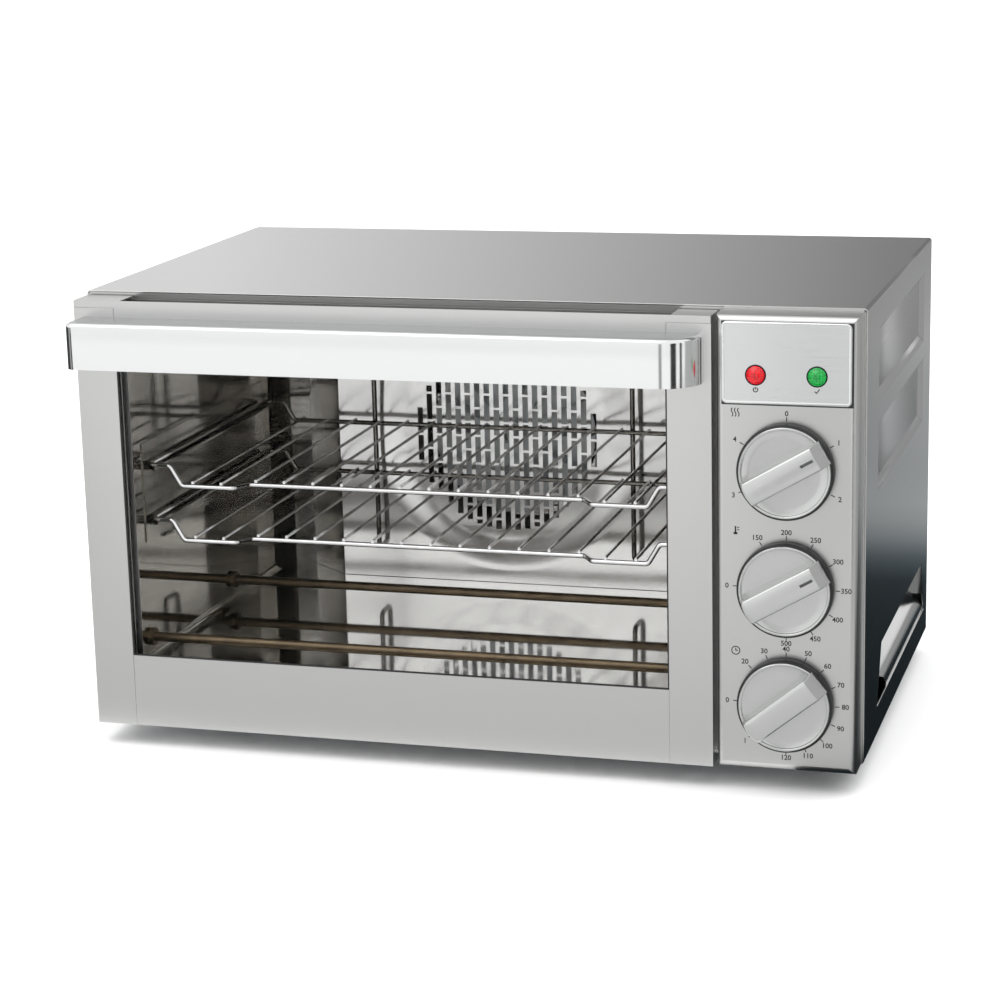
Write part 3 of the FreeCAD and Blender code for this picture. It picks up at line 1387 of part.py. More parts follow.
def build():
    """Every sub-part of the oven, by name."""
    shapes = {
        "outer_wrap": outer_wrap(),
        "base_pan": base_pan(),
        "rear_panel": rear_panel(),
        "motor_cover": motor_cover(),
        "cord_gland": cord_gland(),
        "front_frame": front_frame(),
        "cavity_liner": cavity_liner(),
        "insulation_blanket": insulation_blanket(),
        "insulation_rear": insulation_rear(),
        "fan_baffle": fan_baffle(),
        "baffle_screws": screws(baffle_screw_places() + bracket_screw_places()),
        "rack_guide_left": rack_guide_left(),
        "rack_guide_right": mirrored(rack_guide_left()),
        "rack_stop_left": rack_stop_left(),
        "rack_stop_right": mirrored(rack_stop_left()),
        "lower_rack": rack(0),
        "upper_rack": rack(1),
        "fan_wheel": fan_wheel(),
        "fan_shaft": fan_shaft(),
        "fan_nut": fan_nut(),
        "fan_motor": fan_motor(),
        "motor_bracket": motor_bracket(),
        "control_fascia": control_fascia(),
        "badge_plate": badge_plate(),
        "power_lamp": lamp(-1),
        "ready_lamp": lamp(1),
        "function_knob": knob(FUNCTION_Z, FUNCTION_POINTER),
        "temperature_knob": knob(TEMPERATURE_Z, TEMPERATURE_POINTER),
        "timer_knob": knob(TIMER_Z, TIMER_POINTER),
        "function_shaft": knob_shaft(FUNCTION_Z),
        "temperature_shaft": knob_shaft(TEMPERATURE_Z),
        "timer_shaft": knob_shaft(TIMER_Z),
        "function_switch": function_switch(),
        "thermostat": thermostat(),
        "bake_timer": bake_timer(),
        "door_left_stile": door_left_stile(),
        "door_right_stile": mirrored(door_left_stile()),
        "door_top_rail": door_top_rail(),
        "door_bottom_rail": door_bottom_rail(),
        "door_outer_glass": pane(GLASS_OVERLAP, DOOR_FRONT + SHEET),
        "door_inner_glass": pane(
            INNER_MARGIN + INNER_OVERLAP, INNER_FRAME_FRONT - GLASS_THICKNESS
        ),
        "door_inner_frame": door_inner_frame(),
        "door_gasket": door_gasket(),
        "door_handle": door_handle(),
        "handle_screws": screws(handle_screw_places()),
        "hinge_bracket_left": hinge_bracket_left(),
        "hinge_bracket_right": mirrored(hinge_bracket_left()),
        "hinge_arm_left": hinge_arm_left(),
        "hinge_arm_right": mirrored(hinge_arm_left()),
        "hinge_pins": hinge_pins(),
        "foot_screws": screws(foot_screw_places()),
        "panel_screws": screws(rear_screw_places() + base_screw_places() + hinge_screw_places()),
    }
    for name, (y, z) in heater_places().items():
        shapes[name] = heater(y, z)
    for name, (x, y) in foot_places().items():
        shapes[name] = foot(x, y)
    return shapes


def main():
    """Build the oven and write one file per sub-part."""
    os.makedirs("parts", exist_ok=True)
    for name, shape in build().items():
        if not shape.isValid():
            print("not a valid shape:", name)
        shape.exportStep(f"parts/{name}.step")
        print(f"{name}: {len(shape.Solids)} solids, {shape.Volume:.0f} mm3")


main()
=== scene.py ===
"""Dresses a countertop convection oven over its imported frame, and sets up its studio.

Lengths are in metres in the frame's own axes: +X to the right, +Y to the back, +Z up.
Fields and values whose names end in _mm are in millimetres.
"""

import functools
import logging
import math
from dataclasses import dataclass
from enum import Enum

import bmesh
import bpy
from mathutils import Matrix, Vector


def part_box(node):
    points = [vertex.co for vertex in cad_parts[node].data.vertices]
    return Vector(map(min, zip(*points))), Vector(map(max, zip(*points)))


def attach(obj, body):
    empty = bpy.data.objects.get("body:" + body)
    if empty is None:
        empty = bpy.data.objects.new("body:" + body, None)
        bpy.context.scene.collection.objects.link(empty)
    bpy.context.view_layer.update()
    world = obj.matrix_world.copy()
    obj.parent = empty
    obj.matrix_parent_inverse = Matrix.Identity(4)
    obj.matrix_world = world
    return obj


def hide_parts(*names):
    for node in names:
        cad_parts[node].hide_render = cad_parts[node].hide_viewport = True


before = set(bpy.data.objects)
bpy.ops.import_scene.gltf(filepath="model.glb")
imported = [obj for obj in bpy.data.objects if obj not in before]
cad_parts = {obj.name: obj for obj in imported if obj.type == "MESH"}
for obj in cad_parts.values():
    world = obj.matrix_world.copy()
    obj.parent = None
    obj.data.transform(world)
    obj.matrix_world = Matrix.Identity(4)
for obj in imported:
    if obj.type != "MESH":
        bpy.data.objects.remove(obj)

MM = 0.001
# Points closer than this are one, in millimetres
WELD_MM = 0.001
# Folds sharper than this get a round edge, in degrees, with this many facets
EDGE_ANGLE = 40
EDGE_FACETS = 2

log = logging.getLogger("oven")


# Colour and shader helpers
def linear(code: str) -> tuple[float, float, float, float]:
    """Turns an sRGB hex colour into linear light.

    Args:
        code: The colour, such as "#C8C9C7".

    Returns:
        Red, green, blue and an alpha of one.
    """
    channels = [int(code[start:start + 2], 16) / 255 for start in (1, 3, 5)]
    red, green, blue = ((c / 12.92) if c <= 0.04045 else ((c + 0.055) / 1.055) ** 2.4 for c in channels)
    return red, green, blue, 1.0


def add(
    tree: bpy.types.NodeTree, kind: str, inputs: dict | None = None, **settings: object
) -> bpy.types.Node:
    """Adds a shader node, sets its properties, and fills or links its inputs.

    Args:
        tree: The node tree.
        kind: The node's Blender type.
        inputs: For each input, by name or number, a value or the socket that feeds it.
        settings: The node's own properties.

    Returns:
        The new node.
    """
    node = tree.nodes.new(kind)
    for name, value in settings.items():
        setattr(node, name, value)
    for key, value in (inputs or {}).items():
        if isinstance(value, bpy.types.NodeSocket):
            tree.links.new(value, node.inputs[key])
        else:
            node.inputs[key].default_value = value
    return node


def noise(
    tree: bpy.types.NodeTree, place: bpy.types.NodeSocket, size_mm: float, detail: float
) -> bpy.types.NodeSocket:
    """Adds a soft random pattern.

    Args:
        tree: The node tree.
        place: The point on the surface.
        size_mm: How far apart its light patches lie.
        detail: How many finer layers it has.

    Returns:
        The socket with the pattern, from about 0.3 to 0.7.
    """
    pattern = add(
        tree, "ShaderNodeTexNoise",
        {"Vector": place, "Scale": 1 / (size_mm * MM), "Detail": detail, "Roughness": 0.55},
    )
    return pattern.outputs["Fac"]


def maths(
    tree: bpy.types.NodeTree, operation: str, first: bpy.types.NodeSocket, second: object = 0.0
) -> bpy.types.NodeSocket:
    """Adds one sum.

    Args:
        tree: The node tree.
        operation: Blender's name for it.
        first: The first term.
        second: The second term, a number or a socket.

    Returns:
        The socket with its result.
    """
    return add(tree, "ShaderNodeMath", {0: first, 1: second}, operation=operation).outputs[0]


def away(
    tree: bpy.types.NodeTree, value: bpy.types.NodeSocket, middle: float, start: float
) -> bpy.types.NodeSocket:
    """Adds how far a value lies beyond a band round a middle.

    Args:
        tree: The node tree.
        value: The value.
        middle: The band's middle.
        start: Half the band's width.

    Returns:
        The socket with the distance beyond the band, or nought inside it.
    """
    offset = maths(tree, "ABSOLUTE", maths(tree, "SUBTRACT", value, middle))
    return maths(tree, "MAXIMUM", maths(tree, "SUBTRACT", offset, start), 0.0)


class Grain(Enum):
    """Which way the brush marks of a sheet run, as the number of its axis."""

    ALONG_X = 0
    ALONG_Y = 1


# Finishes
@dataclass(frozen=True)
class Finish:
    """What every finish has, with a plain even surface as its default.

    Attributes:
        name: The real material and how its surface was made.
        colour: Its colour as sRGB hex.
        metallic: One for bare metal, nought for the rest.
        roughness: How far its surface spreads a reflection.
    """

    name: str
    colour: str
    metallic: float
    roughness: float

    @functools.cache
    def make(self) -> bpy.types.Material:
        """Makes the finish's material, once.

        Returns:
            The material.
        """
        material = bpy.data.materials.new(self.name)
        material.use_nodes = True
        tree = material.node_tree
        tree.nodes.clear()
        shader = add(
            tree, "ShaderNodeBsdfPrincipled",
            {"Base Color": linear(self.colour), "Metallic": self.metallic, "Roughness": self.roughness},
        )
        add(tree, "ShaderNodeOutputMaterial", {"Surface": shader.outputs["BSDF"]})
        place = add(tree, "ShaderNodeTexCoord").outputs["Object"]
        self.detail(tree, shader, place)
        material.diffuse_color = linear(self.colour)
        return material

    def detail(self, tree: bpy.types.NodeTree, shader: bpy.types.Node, place: bpy.types.NodeSocket) -> None:
        """Adds what sets this finish apart; the plain one has nothing to add."""

    def vary_roughness(
        self, tree: bpy.types.NodeTree, shader: bpy.types.Node, pattern: bpy.types.NodeSocket, spread: float
    ) -> None:
        """Lets the roughness drift with a pattern.

        Args:
            tree: The material's nodes.
            shader: Its Principled shader.
            pattern: The pattern, from about 0.3 to 0.7.
            spread: How far the roughness drifts to either side.
        """
        drift = add(
            tree, "ShaderNodeMapRange",
            {
                "Value": pattern, "From Min": 0.3, "From Max": 0.7,
                "To Min": self.roughness - spread, "To Max": self.roughness + spread,
            },
        )
        tree.links.new(drift.outputs["Result"], shader.inputs["Roughness"])

    def raise_surface(
        self, tree: bpy.types.NodeTree, shader: bpy.types.Node, pattern: bpy.types.NodeSocket, depth_mm: float
    ) -> None:
        """Makes the surface rise and fall with a pattern.

        Args:
            tree: The material's nodes.
            shader: Its Principled shader.
            pattern: The pattern.
            depth_mm: How high it stands.
        """
        relief = add(
            tree, "ShaderNodeBump", {"Height": pattern, "Strength": 1.0, "Distance": depth_mm * MM}
        )
        for link in shader.inputs["Normal"].links:
            tree.links.new(link.from_socket, relief.inputs["Normal"])
        tree.links.new(relief.outputs["Normal"], shader.inputs["Normal"])

    def mix_tones(
        self, tree: bpy.types.NodeTree, shader: bpy.types.Node, share: bpy.types.NodeSocket, other: str
    ) -> bpy.types.NodeSocket:
        """Lets the colour drift to another tone.

        Args:
            tree: The material's nodes.
            shader: Its Principled shader.
            share: How much of the other tone shows.
            other: The other tone as sRGB hex.

        Returns:
            The socket with the mixed colour.
        """
        tones = add(
            tree, "ShaderNodeMix",
            {0: share, 6: linear(self.colour), 7: linear(other)}, data_type="RGBA",
        )
        tree.links.new(tones.outputs[2], shader.inputs["Base Color"])
        return tones.outputs[2]


@dataclass(frozen=True)
class BrushedSteel(Finish):
    """Brushed sheet: fine parallel scratches that soften each reflection along their own length.

    Attributes:
        grain: Which way the scratches run.
        scratch_mm: How far apart the scratches lie. The real 0.1 mm is too fine to show, so
            they are drawn about a millimetre apart.
        length_mm: How long a scratch runs before it fades.
        depth_mm: How deep they look.
        spread: How far the roughness drifts from scratch to scratch.
    """

    grain: Grain = Grain.ALONG_X
    scratch_mm: float = 0.8
    length_mm: float = 90.0
    depth_mm: float = 0.0025
    spread: float = 0.035

    def detail(self, tree: bpy.types.NodeTree, shader: bpy.types.Node, place: bpy.types.NodeSocket) -> None:
        """Adds the scratches.

        Args:
            tree: The material's nodes.
            shader: Its Principled shader.
            place: The point on the surface.
        """
        stretch = [1 / self.scratch_mm] * 3
        stretch[self.grain.value] = 1 / self.length_mm
        mapping = add(tree, "ShaderNodeMapping", {"Vector": place, "Scale": stretch})
        scratches = noise(tree, mapping.outputs["Vector"], 1.0, 3.0)
        self.vary_roughness(tree, shader, scratches, self.spread)
        self.raise_surface(tree, shader, scratches, self.depth_mm)


@dataclass(frozen=True)
class DishedSteel(BrushedSteel):
    """Brushed sheet whose pressed panels are a little dished, so each mirrors a slope of tones.

    Attributes:
        middle: The Y of the panels' middle.
        dish: How strongly they dish, as half the curvature per metre.
        floor: How far out their floors lie from the oven's middle.
        top: The Z that they stay under.
    """

    middle: float = 0.0145
    dish: float = 0.45
    floor: float = 0.2385
    top: float = 0.27

    def detail(self, tree: bpy.types.NodeTree, shader: bpy.types.Node, place: bpy.types.NodeSocket) -> None:
        """Adds the dishing to the scratches.

        Args:
            tree: The material's nodes.
            shader: Its Principled shader.
            place: The point on the surface.
        """
        super().detail(tree, shader, place)
        point = add(tree, "ShaderNodeSeparateXYZ", {0: place}).outputs
        across = maths(tree, "LESS_THAN", maths(tree, "ABSOLUTE", point["X"]), self.floor)
        below = maths(tree, "LESS_THAN", point["Z"], self.top)
        offset = maths(tree, "SUBTRACT", point["Y"], self.middle)
        bowl = maths(tree, "MULTIPLY", maths(tree, "MULTIPLY", offset, offset), self.dish / MM)
        inside = maths(tree, "MULTIPLY", across, below)
        self.raise_surface(tree, shader, maths(tree, "MULTIPLY", bowl, inside), 1.0)


@dataclass(frozen=True)
class BrightSteel(Finish):
    """Bright annealed, buffed or plated metal: mirror-like, with a slow waviness.

    Attributes:
        wave_mm: The length of the sheet's waves, which bend what it mirrors.
        depth_mm: Their depth.
        haze_mm: The size of the faint patches where it is duller.
        spread: How much duller and brighter the patches are.
    """

    wave_mm: float = 60.0
    depth_mm: float = 0.25
    haze_mm: float = 35.0
    spread: float = 0.03

    def detail(self, tree: bpy.types.NodeTree, shader: bpy.types.Node, place: bpy.types.NodeSocket) -> None:
        """Adds the waves and the haze.

        Args:
            tree: The material's nodes.
            shader: Its Principled shader.
            place: The point on the surface.
        """
        self.vary_roughness(tree, shader, noise(tree, place, self.haze_mm, 4.0), self.spread)
        self.raise_surface(tree, shader, noise(tree, place, self.wave_mm, 1.0), self.depth_mm)


@dataclass(frozen=True)
class TintedSteel(BrightSteel):
    """Bright steel drawn in a darker brown-grey towards the side walls: painted shade for the dim walls of
    the box.

    Attributes:
        brown: The colour of the painted shade.
        middle: The X of the box's middle.
        clear_mm: How far from the middle the painted shade starts.
        full_mm: How far from the middle it is complete.
    """

    brown: str = "#949089"
    middle: float = -0.04225
    clear_mm: float = 125.0
    full_mm: float = 172.0

    def detail(self, tree: bpy.types.NodeTree, shader: bpy.types.Node, place: bpy.types.NodeSocket) -> None:
        """Adds the painted shade towards the walls to the waves and the haze.

        Args:
            tree: The material's nodes.
            shader: Its Principled shader.
            place: The point on the surface.
        """
        super().detail(tree, shader, place)
        across = add(tree, "ShaderNodeSeparateXYZ", {0: place}).outputs["X"]
        share = add(
            tree, "ShaderNodeMapRange",
            {
                "Value": away(tree, across, self.middle, self.clear_mm * MM),
                "From Min": 0.0, "From Max": (self.full_mm - self.clear_mm) * MM,
            },
            interpolation_type="SMOOTHSTEP",
        )
        # Painted shade: the colour darkens towards the side walls
        self.mix_tones(tree, shader, share.outputs["Result"], self.brown)


@dataclass(frozen=True)
class FiredChrome(BrightSteel):
    """Plated wire drawn darker behind the rack's front bar: painted shade for the dim inside of the oven.

    The wire mirrors the dark walls there, and the darker tone paints that shade; the plating itself is the
    same. It may be heat or the dark walls that it mirrors; a darker plating stands for either.

    Attributes:
        fired: The colour of the painted shade.
        clean_mm: The Y up to which the wire has no painted shade, and the Y from which it is fully shaded.
    """

    fired: str = "#7E7B76"
    clean_mm: tuple[float, float] = (-92.0, -82.0)

    def detail(self, tree: bpy.types.NodeTree, shader: bpy.types.Node, place: bpy.types.NodeSocket) -> None:
        """Adds the painted shade to the waves and the haze.

        Args:
            tree: The material's nodes.
            shader: Its Principled shader.
            place: The point on the surface.
        """
        super().detail(tree, shader, place)
        start, end = self.clean_mm
        share = add(
            tree, "ShaderNodeMapRange",
            {
                "Value": add(tree, "ShaderNodeSeparateXYZ", {0: place}).outputs["Y"],
                "From Min": start * MM, "From Max": end * MM,
            },
        )
        # Painted shade: the wire darkens behind the front bar
        self.mix_tones(tree, shader, share.outputs["Result"], self.fired)


@dataclass(frozen=True)
class PressedSteel(BrightSteel):
    """Bright sheet with a pressed ring round its grille and sides that bow forwards.

    Attributes:
        middle: The X and Z of the grille's middle.
        flat_mm: How far to each side of the middle the sheet is flat.
        bow: How strongly its sides bow, as half the curvature per metre.
        ring_mm: Where the pressed ring's slope starts and ends, as radii.
        ring_step_mm: How far the ring steps back.
    """

    middle: tuple[float, float] = (-0.04225, 0.150)
    flat_mm: float = 78.0
    bow: float = 1.25
    ring_mm: tuple[float, float] = (72.0, 96.0)
    ring_step_mm: float = 1.5

    def detail(self, tree: bpy.types.NodeTree, shader: bpy.types.Node, place: bpy.types.NodeSocket) -> None:
        """Adds the bow and the ring to the waves and the haze.

        Args:
            tree: The material's nodes.
            shader: Its Principled shader.
            place: The point on the surface.
        """
        super().detail(tree, shader, place)
        point = add(tree, "ShaderNodeSeparateXYZ", {0: place}).outputs
        beyond = away(tree, point["X"], self.middle[0], self.flat_mm * MM)
        bow = maths(tree, "MULTIPLY", maths(tree, "MULTIPLY", beyond, beyond), self.bow / MM)
        self.raise_surface(tree, shader, bow, 1.0)
        right = maths(tree, "SUBTRACT", point["X"], self.middle[0])
        up = maths(tree, "SUBTRACT", point["Z"], self.middle[1])
        squares = maths(
            tree, "ADD", maths(tree, "MULTIPLY", right, right), maths(tree, "MULTIPLY", up, up)
        )
        ring = add(
            tree, "ShaderNodeMapRange",
            {
                "Value": maths(tree, "SQRT", squares),
                "From Min": self.ring_mm[0] * MM, "From Max": self.ring_mm[1] * MM,
            },
            interpolation_type="SMOOTHSTEP",
        )
        self.raise_surface(tree, shader, ring.outputs["Result"], self.ring_step_mm)


@dataclass(frozen=True)
class Mottled(Finish):
    """A surface whose colour drifts between two tones, with a fine grain you could feel.

    Attributes:
        other: The second tone.
        patch_mm: The size of the patches.
        grain_mm: The size of the grain.
        depth_mm: The depth of the grain.
        spread: How far the roughness drifts.
    """

    other: str = "#808080"
    patch_mm: float = 12.0
    grain_mm: float = 0.8
    depth_mm: float = 0.03
    spread: float = 0.05

    def detail(self, tree: bpy.types.NodeTree, shader: bpy.types.Node, place: bpy.types.NodeSocket) -> None:
        """Adds the two tones and the grain.

        Args:
            tree: The material's nodes.
            shader: Its Principled shader.
            place: The point on the surface.
        """
        grain = noise(tree, place, self.grain_mm, 2.0)
        self.mix_tones(tree, shader, noise(tree, place, self.patch_mm, 5.0), self.other)
        self.vary_roughness(tree, shader, grain, self.spread)
        self.raise_surface(tree, shader, grain, self.depth_mm)


@dataclass(frozen=True)
class Spangled(Finish):
    """Zinc-coated sheet: flat crystals a few millimetres wide, each a slightly different grey.

    Attributes:
        other: The lighter crystals' colour.
        crystal_mm: How wide a crystal is.
        spread: How much duller and brighter the crystals are.
    """

    other: str = "#C4C9CC"
    crystal_mm: float = 7.0
    spread: float = 0.06

    def detail(self, tree: bpy.types.NodeTree, shader: bpy.types.Node, place: bpy.types.NodeSocket) -> None:
        """Adds the crystals.

        Args:
            tree: The material's nodes.
            shader: Its Principled shader.
            place: The point on the surface.
        """
        cells = add(tree, "ShaderNodeTexVoronoi", {"Vector": place, "Scale": 1 / (self.crystal_mm * MM)})
        tone = add(tree, "ShaderNodeSeparateColor", {"Color": cells.outputs["Color"]})
        self.mix_tones(tree, shader, tone.outputs["Red"], self.other)
        self.vary_roughness(tree, shader, tone.outputs["Green"], self.spread)


@dataclass(frozen=True)
class ClearGlass(Finish):
    """Toughened float glass: what is behind it shows straight through, a shade darker.

    Attributes:
        cover: How much of what lies behind one face of a pane hides.
        smear_mm: The size of the faint wiped patches on it.
    """

    cover: float = 0.02
    smear_mm: float = 60.0

    def detail(self, tree: bpy.types.NodeTree, shader: bpy.types.Node, place: bpy.types.NodeSocket) -> None:
        """Opens the pane to light and adds the wiped patches.

        Args:
            tree: The material's nodes.
            shader: Its Principled shader.
            place: The point on the surface.
        """
        shader.inputs["Alpha"].default_value = self.cover
        shader.inputs["IOR"].default_value = 1.5
        self.vary_roughness(tree, shader, noise(tree, place, self.smear_mm, 3.0), self.roughness)


@dataclass(frozen=True)
class Lens(Finish):
    """Tinted polycarbonate lens: wet-looking, darker at its prisms, and lit a little from inside.

    Attributes:
        glow: How strongly it shines.
        prism_mm: The size of the moulded prisms inside it.
        shade: The colour between the prisms.
    """

    glow: float = 0.45
    prism_mm: float = 1.6
    shade: str = "#400008"

    def detail(self, tree: bpy.types.NodeTree, shader: bpy.types.Node, place: bpy.types.NodeSocket) -> None:
        """Adds the glow and the prisms.

        Args:
            tree: The material's nodes.
            shader: Its Principled shader.
            place: The point on the surface.
        """
        prisms = add(
            tree, "ShaderNodeTexVoronoi",
            {"Vector": place, "Scale": 1 / (self.prism_mm * MM), "Randomness": 0.3},
        )
        tone = self.mix_tones(tree, shader, prisms.outputs["Distance"], self.shade)
        tree.links.new(tone, shader.inputs["Emission Color"])
        shader.inputs["Emission Strength"].default_value = self.glow
        shader.inputs["IOR"].default_value = 1.585


# Each finish, by what it is in the real oven
# Type 304 sheet with a number 4 brushed face: light grey, with soft wide reflections
FRONT_STEEL = BrushedSteel(
    "stainless_brushed_front", "#CDCDCC", 1.0, 0.30, Grain.ALONG_X, 0.8, 90.0, 0.0010, 0.02
)
# The same sheet on the wrap, brushed from front to back and smoother
WRAP_STEEL = DishedSteel(
    "stainless_brushed_wrap", "#C8C9C8", 1.0, 0.14, Grain.ALONG_Y, 0.8, 120.0, 0.0010, 0.02
)
# The same sheet in the hand-grips' scoops, which the press has left a shade duller
SCOOP_STEEL = BrushedSteel(
    "stainless_brushed_scoop", "#C8C9C8", 1.0, 0.16, Grain.ALONG_Y, 0.8, 120.0, 0.0010, 0.02
)
# Buffed stainless channel: nearly a mirror, white where it meets the studio's light
HANDLE_STEEL = BrightSteel("stainless_buffed", "#E3E4E4", 1.0, 0.12, 120.0, 0.03, 30.0, 0.02)
# The channel's top, a little rougher than its face and drawn darker: painted shade that makes a grey band
# over the white one
HANDLE_TOP_SHADED = BrightSteel("stainless_top_painted_shade", "#B0B2B3", 1.0, 0.20, 60.0, 0.02, 20.0, 0.03)
# Bright annealed sheet of the cooking box: mirrors the racks, with painted shade darkening it towards the
# walls
LINER_STEEL = TintedSteel("stainless_bright_annealed", "#E4E3E1", 1.0, 0.06, 90.0, 0.12, 40.0, 0.02)
# The same sheet on the baffle, drawn whiter than the liner: painted light for the bright reflections it
# catches
BAFFLE_STEEL_LIT = PressedSteel("stainless_bright_baffle_painted_light", "#F6F6F5", 1.0, 0.15, 60.0, 0.18, 30.0, 0.02)
# The same sheet on the small rack guides, drawn all over in the brown-grey of the walls' painted shade
GUIDE_STEEL_SHADED = BrightSteel("stainless_bright_guide", "#949089", 1.0, 0.12, 50.0, 0.10, 30.0, 0.04)
# Chrome-plated steel wire: a hard bright line at the front bar, and painted shade darkening the lines behind
# it
WIRE_CHROME = FiredChrome("wire_chrome_plated", "#F4F4F4", 1.0, 0.09, 15.0, 0.01, 8.0, 0.03)
# Nickel-alloy sheath, oxidised to a warm bronze by use
SHEATH = Mottled("sheath_oxidised_alloy", "#86745A", 0.85, 0.36, "#4C4238", 9.0, 0.6, 0.02, 0.08)
# Toughened float glass
PANE = ClearGlass("glass_toughened", "#1B1F1E", 0.0, 0.02)
# Extruded silicone seal
SEAL = Mottled("silicone_extruded", "#1A1A1A", 0.0, 0.6, "#242424", 6.0, 0.4, 0.02, 0.05)
# Moulded rubber
RUBBER = Mottled("rubber_moulded", "#141414", 0.0, 0.75, "#1F1F1E", 5.0, 0.5, 0.04, 0.08)
# Hot-dip galvanised sheet with its crystals
ZINC_SHEET = Spangled("steel_galvanised", "#9BA1A5", 0.85, 0.38)
# Zinc-plated screws
SCREW_ZINC = Mottled("screw_zinc_plated", "#B9BDBF", 1.0, 0.28, "#A2A6A8", 2.0, 0.3, 0.01, 0.05)
# Turned steel spindles
TURNED_STEEL = Mottled("steel_turned", "#A5A6A6", 1.0, 0.25, "#8E8F8F", 3.0, 0.2, 0.01, 0.05)
# Pressed rolled aluminium of the fan
FAN_ALUMINIUM = Mottled("aluminium_rolled", "#C3C5C6", 1.0, 0.34, "#ABADAE", 10.0, 0.5, 0.02, 0.06)
# Lacquered motor laminations
MOTOR_LACQUER = Mottled("laminations_lacquered", "#2B2B2D", 0.4, 0.45, "#1D1D1F", 4.0, 0.4, 0.04, 0.06)
# Black phenolic switch bodies
PHENOLIC = Mottled("phenolic_moulded", "#17171A", 0.0, 0.5, "#202023", 8.0, 0.5, 0.03, 0.06)
# Mineral wool, loose and fibrous
WOOL = Mottled("mineral_wool_matted", "#B9A982", 0.0, 0.95, "#8F8160", 5.0, 1.2, 0.6, 0.03)
# Silvered ABS of the dials: a satin skin, softer than steel
SATIN_ABS = Mottled("abs_silvered_satin", "#CBCCCB", 0.9, 0.24, "#C3C4C3", 25.0, 0.35, 0.002, 0.03)
# Black satin ABS on the dials' skirts, whose darkness is painted shade: a thin dark ring round a light face
SKIRT_SHADE_BLACK = Mottled("abs_black_skirt_painted_shade", "#0D0D0E", 0.0, 0.38, "#17171A", 9.0, 0.35, 0.003, 0.05)
# Chrome drawn near black on the lamps' seats: painted shade that makes a thin dark ring round each lens
RIM_SHADE_CHROME = BrightSteel("abs_chrome_painted_shade", "#2E2F31", 1.0, 0.16, 30.0, 0.01, 12.0, 0.03)
# Satin-anodised aluminium plate
BADGE_ALUMINIUM = BrushedSteel(
    "aluminium_anodised_satin", "#DADBDB", 1.0, 0.30, Grain.ALONG_X, 0.7, 40.0, 0.002, 0.03
)
# Polished bevel of the plate's raised border: catches the light as a line
PLATE_RIM = BrightSteel("aluminium_polished", "#E4E5E5", 1.0, 0.14, 40.0, 0.01, 15.0, 0.02)
# Screen-printed ink
INK = Mottled("ink_screen_printed", "#0B0B0C", 0.0, 0.5, "#151517", 3.0, 0.3, 0.002, 0.05)
# Grey filling paint in the dials' pointer slots, which also stands as painted shade for the slots' recess and
# for the screws' cross recesses
RECESS_SHADE_PAINT = Mottled("paint_grey_recess_shade", "#5C5D5F", 0.0, 0.55, "#4A4B4D", 2.0, 0.3, 0.01, 0.05)
RED_LENS = Lens("polycarbonate_red", "#D4000F", 0.0, 0.14, 0.55, 1.6, "#52000A")
GREEN_LENS = Lens("polycarbonate_green", "#009A3C", 0.0, 0.14, 0.55, 1.6, "#003814")


# Mesh helpers
def mesh_piece(
    name: str, body: str, shape: bmesh.types.BMesh, *finishes: Finish, angle: float = 35.0
) -> bpy.types.Object:
    """Makes a piece of the oven from a mesh drawn in place.

    Args:
        name: The piece's name.
        body: The moving body it rides on.
        shape: Its mesh, which this frees.
        finishes: Its finishes, in the order of its faces' material numbers.
        angle: The sharpest fold that still shades as a curve, in degrees.

    Returns:
        The piece.
    """
    mesh = bpy.data.meshes.new(name)
    bmesh.ops.recalc_face_normals(shape, faces=shape.faces)
    shape.to_mesh(mesh)
    shape.free()
    mesh.shade_smooth()
    mesh.set_sharp_from_angle(angle=math.radians(angle))
    for finish in finishes:
        mesh.materials.append(finish.make())
    piece = bpy.data.objects.new(name, mesh)
    bpy.context.scene.collection.objects.link(piece)
    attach(piece, body)
    log.info("made %s", name)
    return piece


def dress(names: tuple[str, ...], finish: Finish, edge_mm: float = 0.0) -> None:
    """Gives frame nodes their finish and, where asked, small round edges.

    Args:
        names: The nodes.
        finish: Their finish.
        edge_mm: The radius of their edges, or nought to leave them as they are.
    """
    for name in names:
        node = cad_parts[name]
        if not node.material_slots:
            node.data.materials.append(None)
        for slot in node.material_slots:
            slot.material = finish.make()
        if edge_mm:
            weld = node.modifiers.new("weld", "WELD")
            weld.merge_threshold = WELD_MM * MM
            bevel = node.modifiers.new("edges", "BEVEL")
            bevel.width = edge_mm * MM
            bevel.segments = EDGE_FACETS
            bevel.limit_method = "ANGLE"
            bevel.angle_limit = math.radians(EDGE_ANGLE)
        log.info("dressed %s in %s", name, finish.name)


def block(shape: bmesh.types.BMesh, low: Vector, high: Vector) -> None:
    """Adds a block between two corners.

    Args:
        shape: The mesh.
        low: Its low corner.
        high: Its high corner.
    """
    size = Matrix.Diagonal((*(high - low), 1.0))
    bmesh.ops.create_cube(shape, size=1.0, matrix=Matrix.Translation((low + high) / 2) @ size)


def turned(
    shape: bmesh.types.BMesh, centre: Vector, profile: tuple[tuple[float, float], ...], number: int,
    sides: int = 96,
) -> None:
    """Adds a surface turned round an axis that points out of the oven's front.

    Args:
        shape: The mesh.
        centre: The point on the axis that the profile's reaches start from.
        profile: Each ring's radius and its reach towards the front, both in millimetres.
        number: The material number of its faces.
        sides: How many faces go round it.
    """
    rings = []
    for radius, reach in profile:
        count = sides if radius else 1
        ring = []
        for index in range(count):
            turn = math.tau * index / count
            spoke = Vector((math.cos(turn) * radius, -reach, math.sin(turn) * radius))
            ring.append(shape.verts.new(centre + spoke * MM))
        rings.append(ring)
    for inner, outer in zip(rings, rings[1:]):
        for index in range(sides):
            after = index + 1
            corners = [
                inner[index % len(inner)], inner[after % len(inner)],
                outer[after % len(outer)], outer[index % len(outer)],
            ]
            shape.faces.new(list(dict.fromkeys(corners))).material_index = number


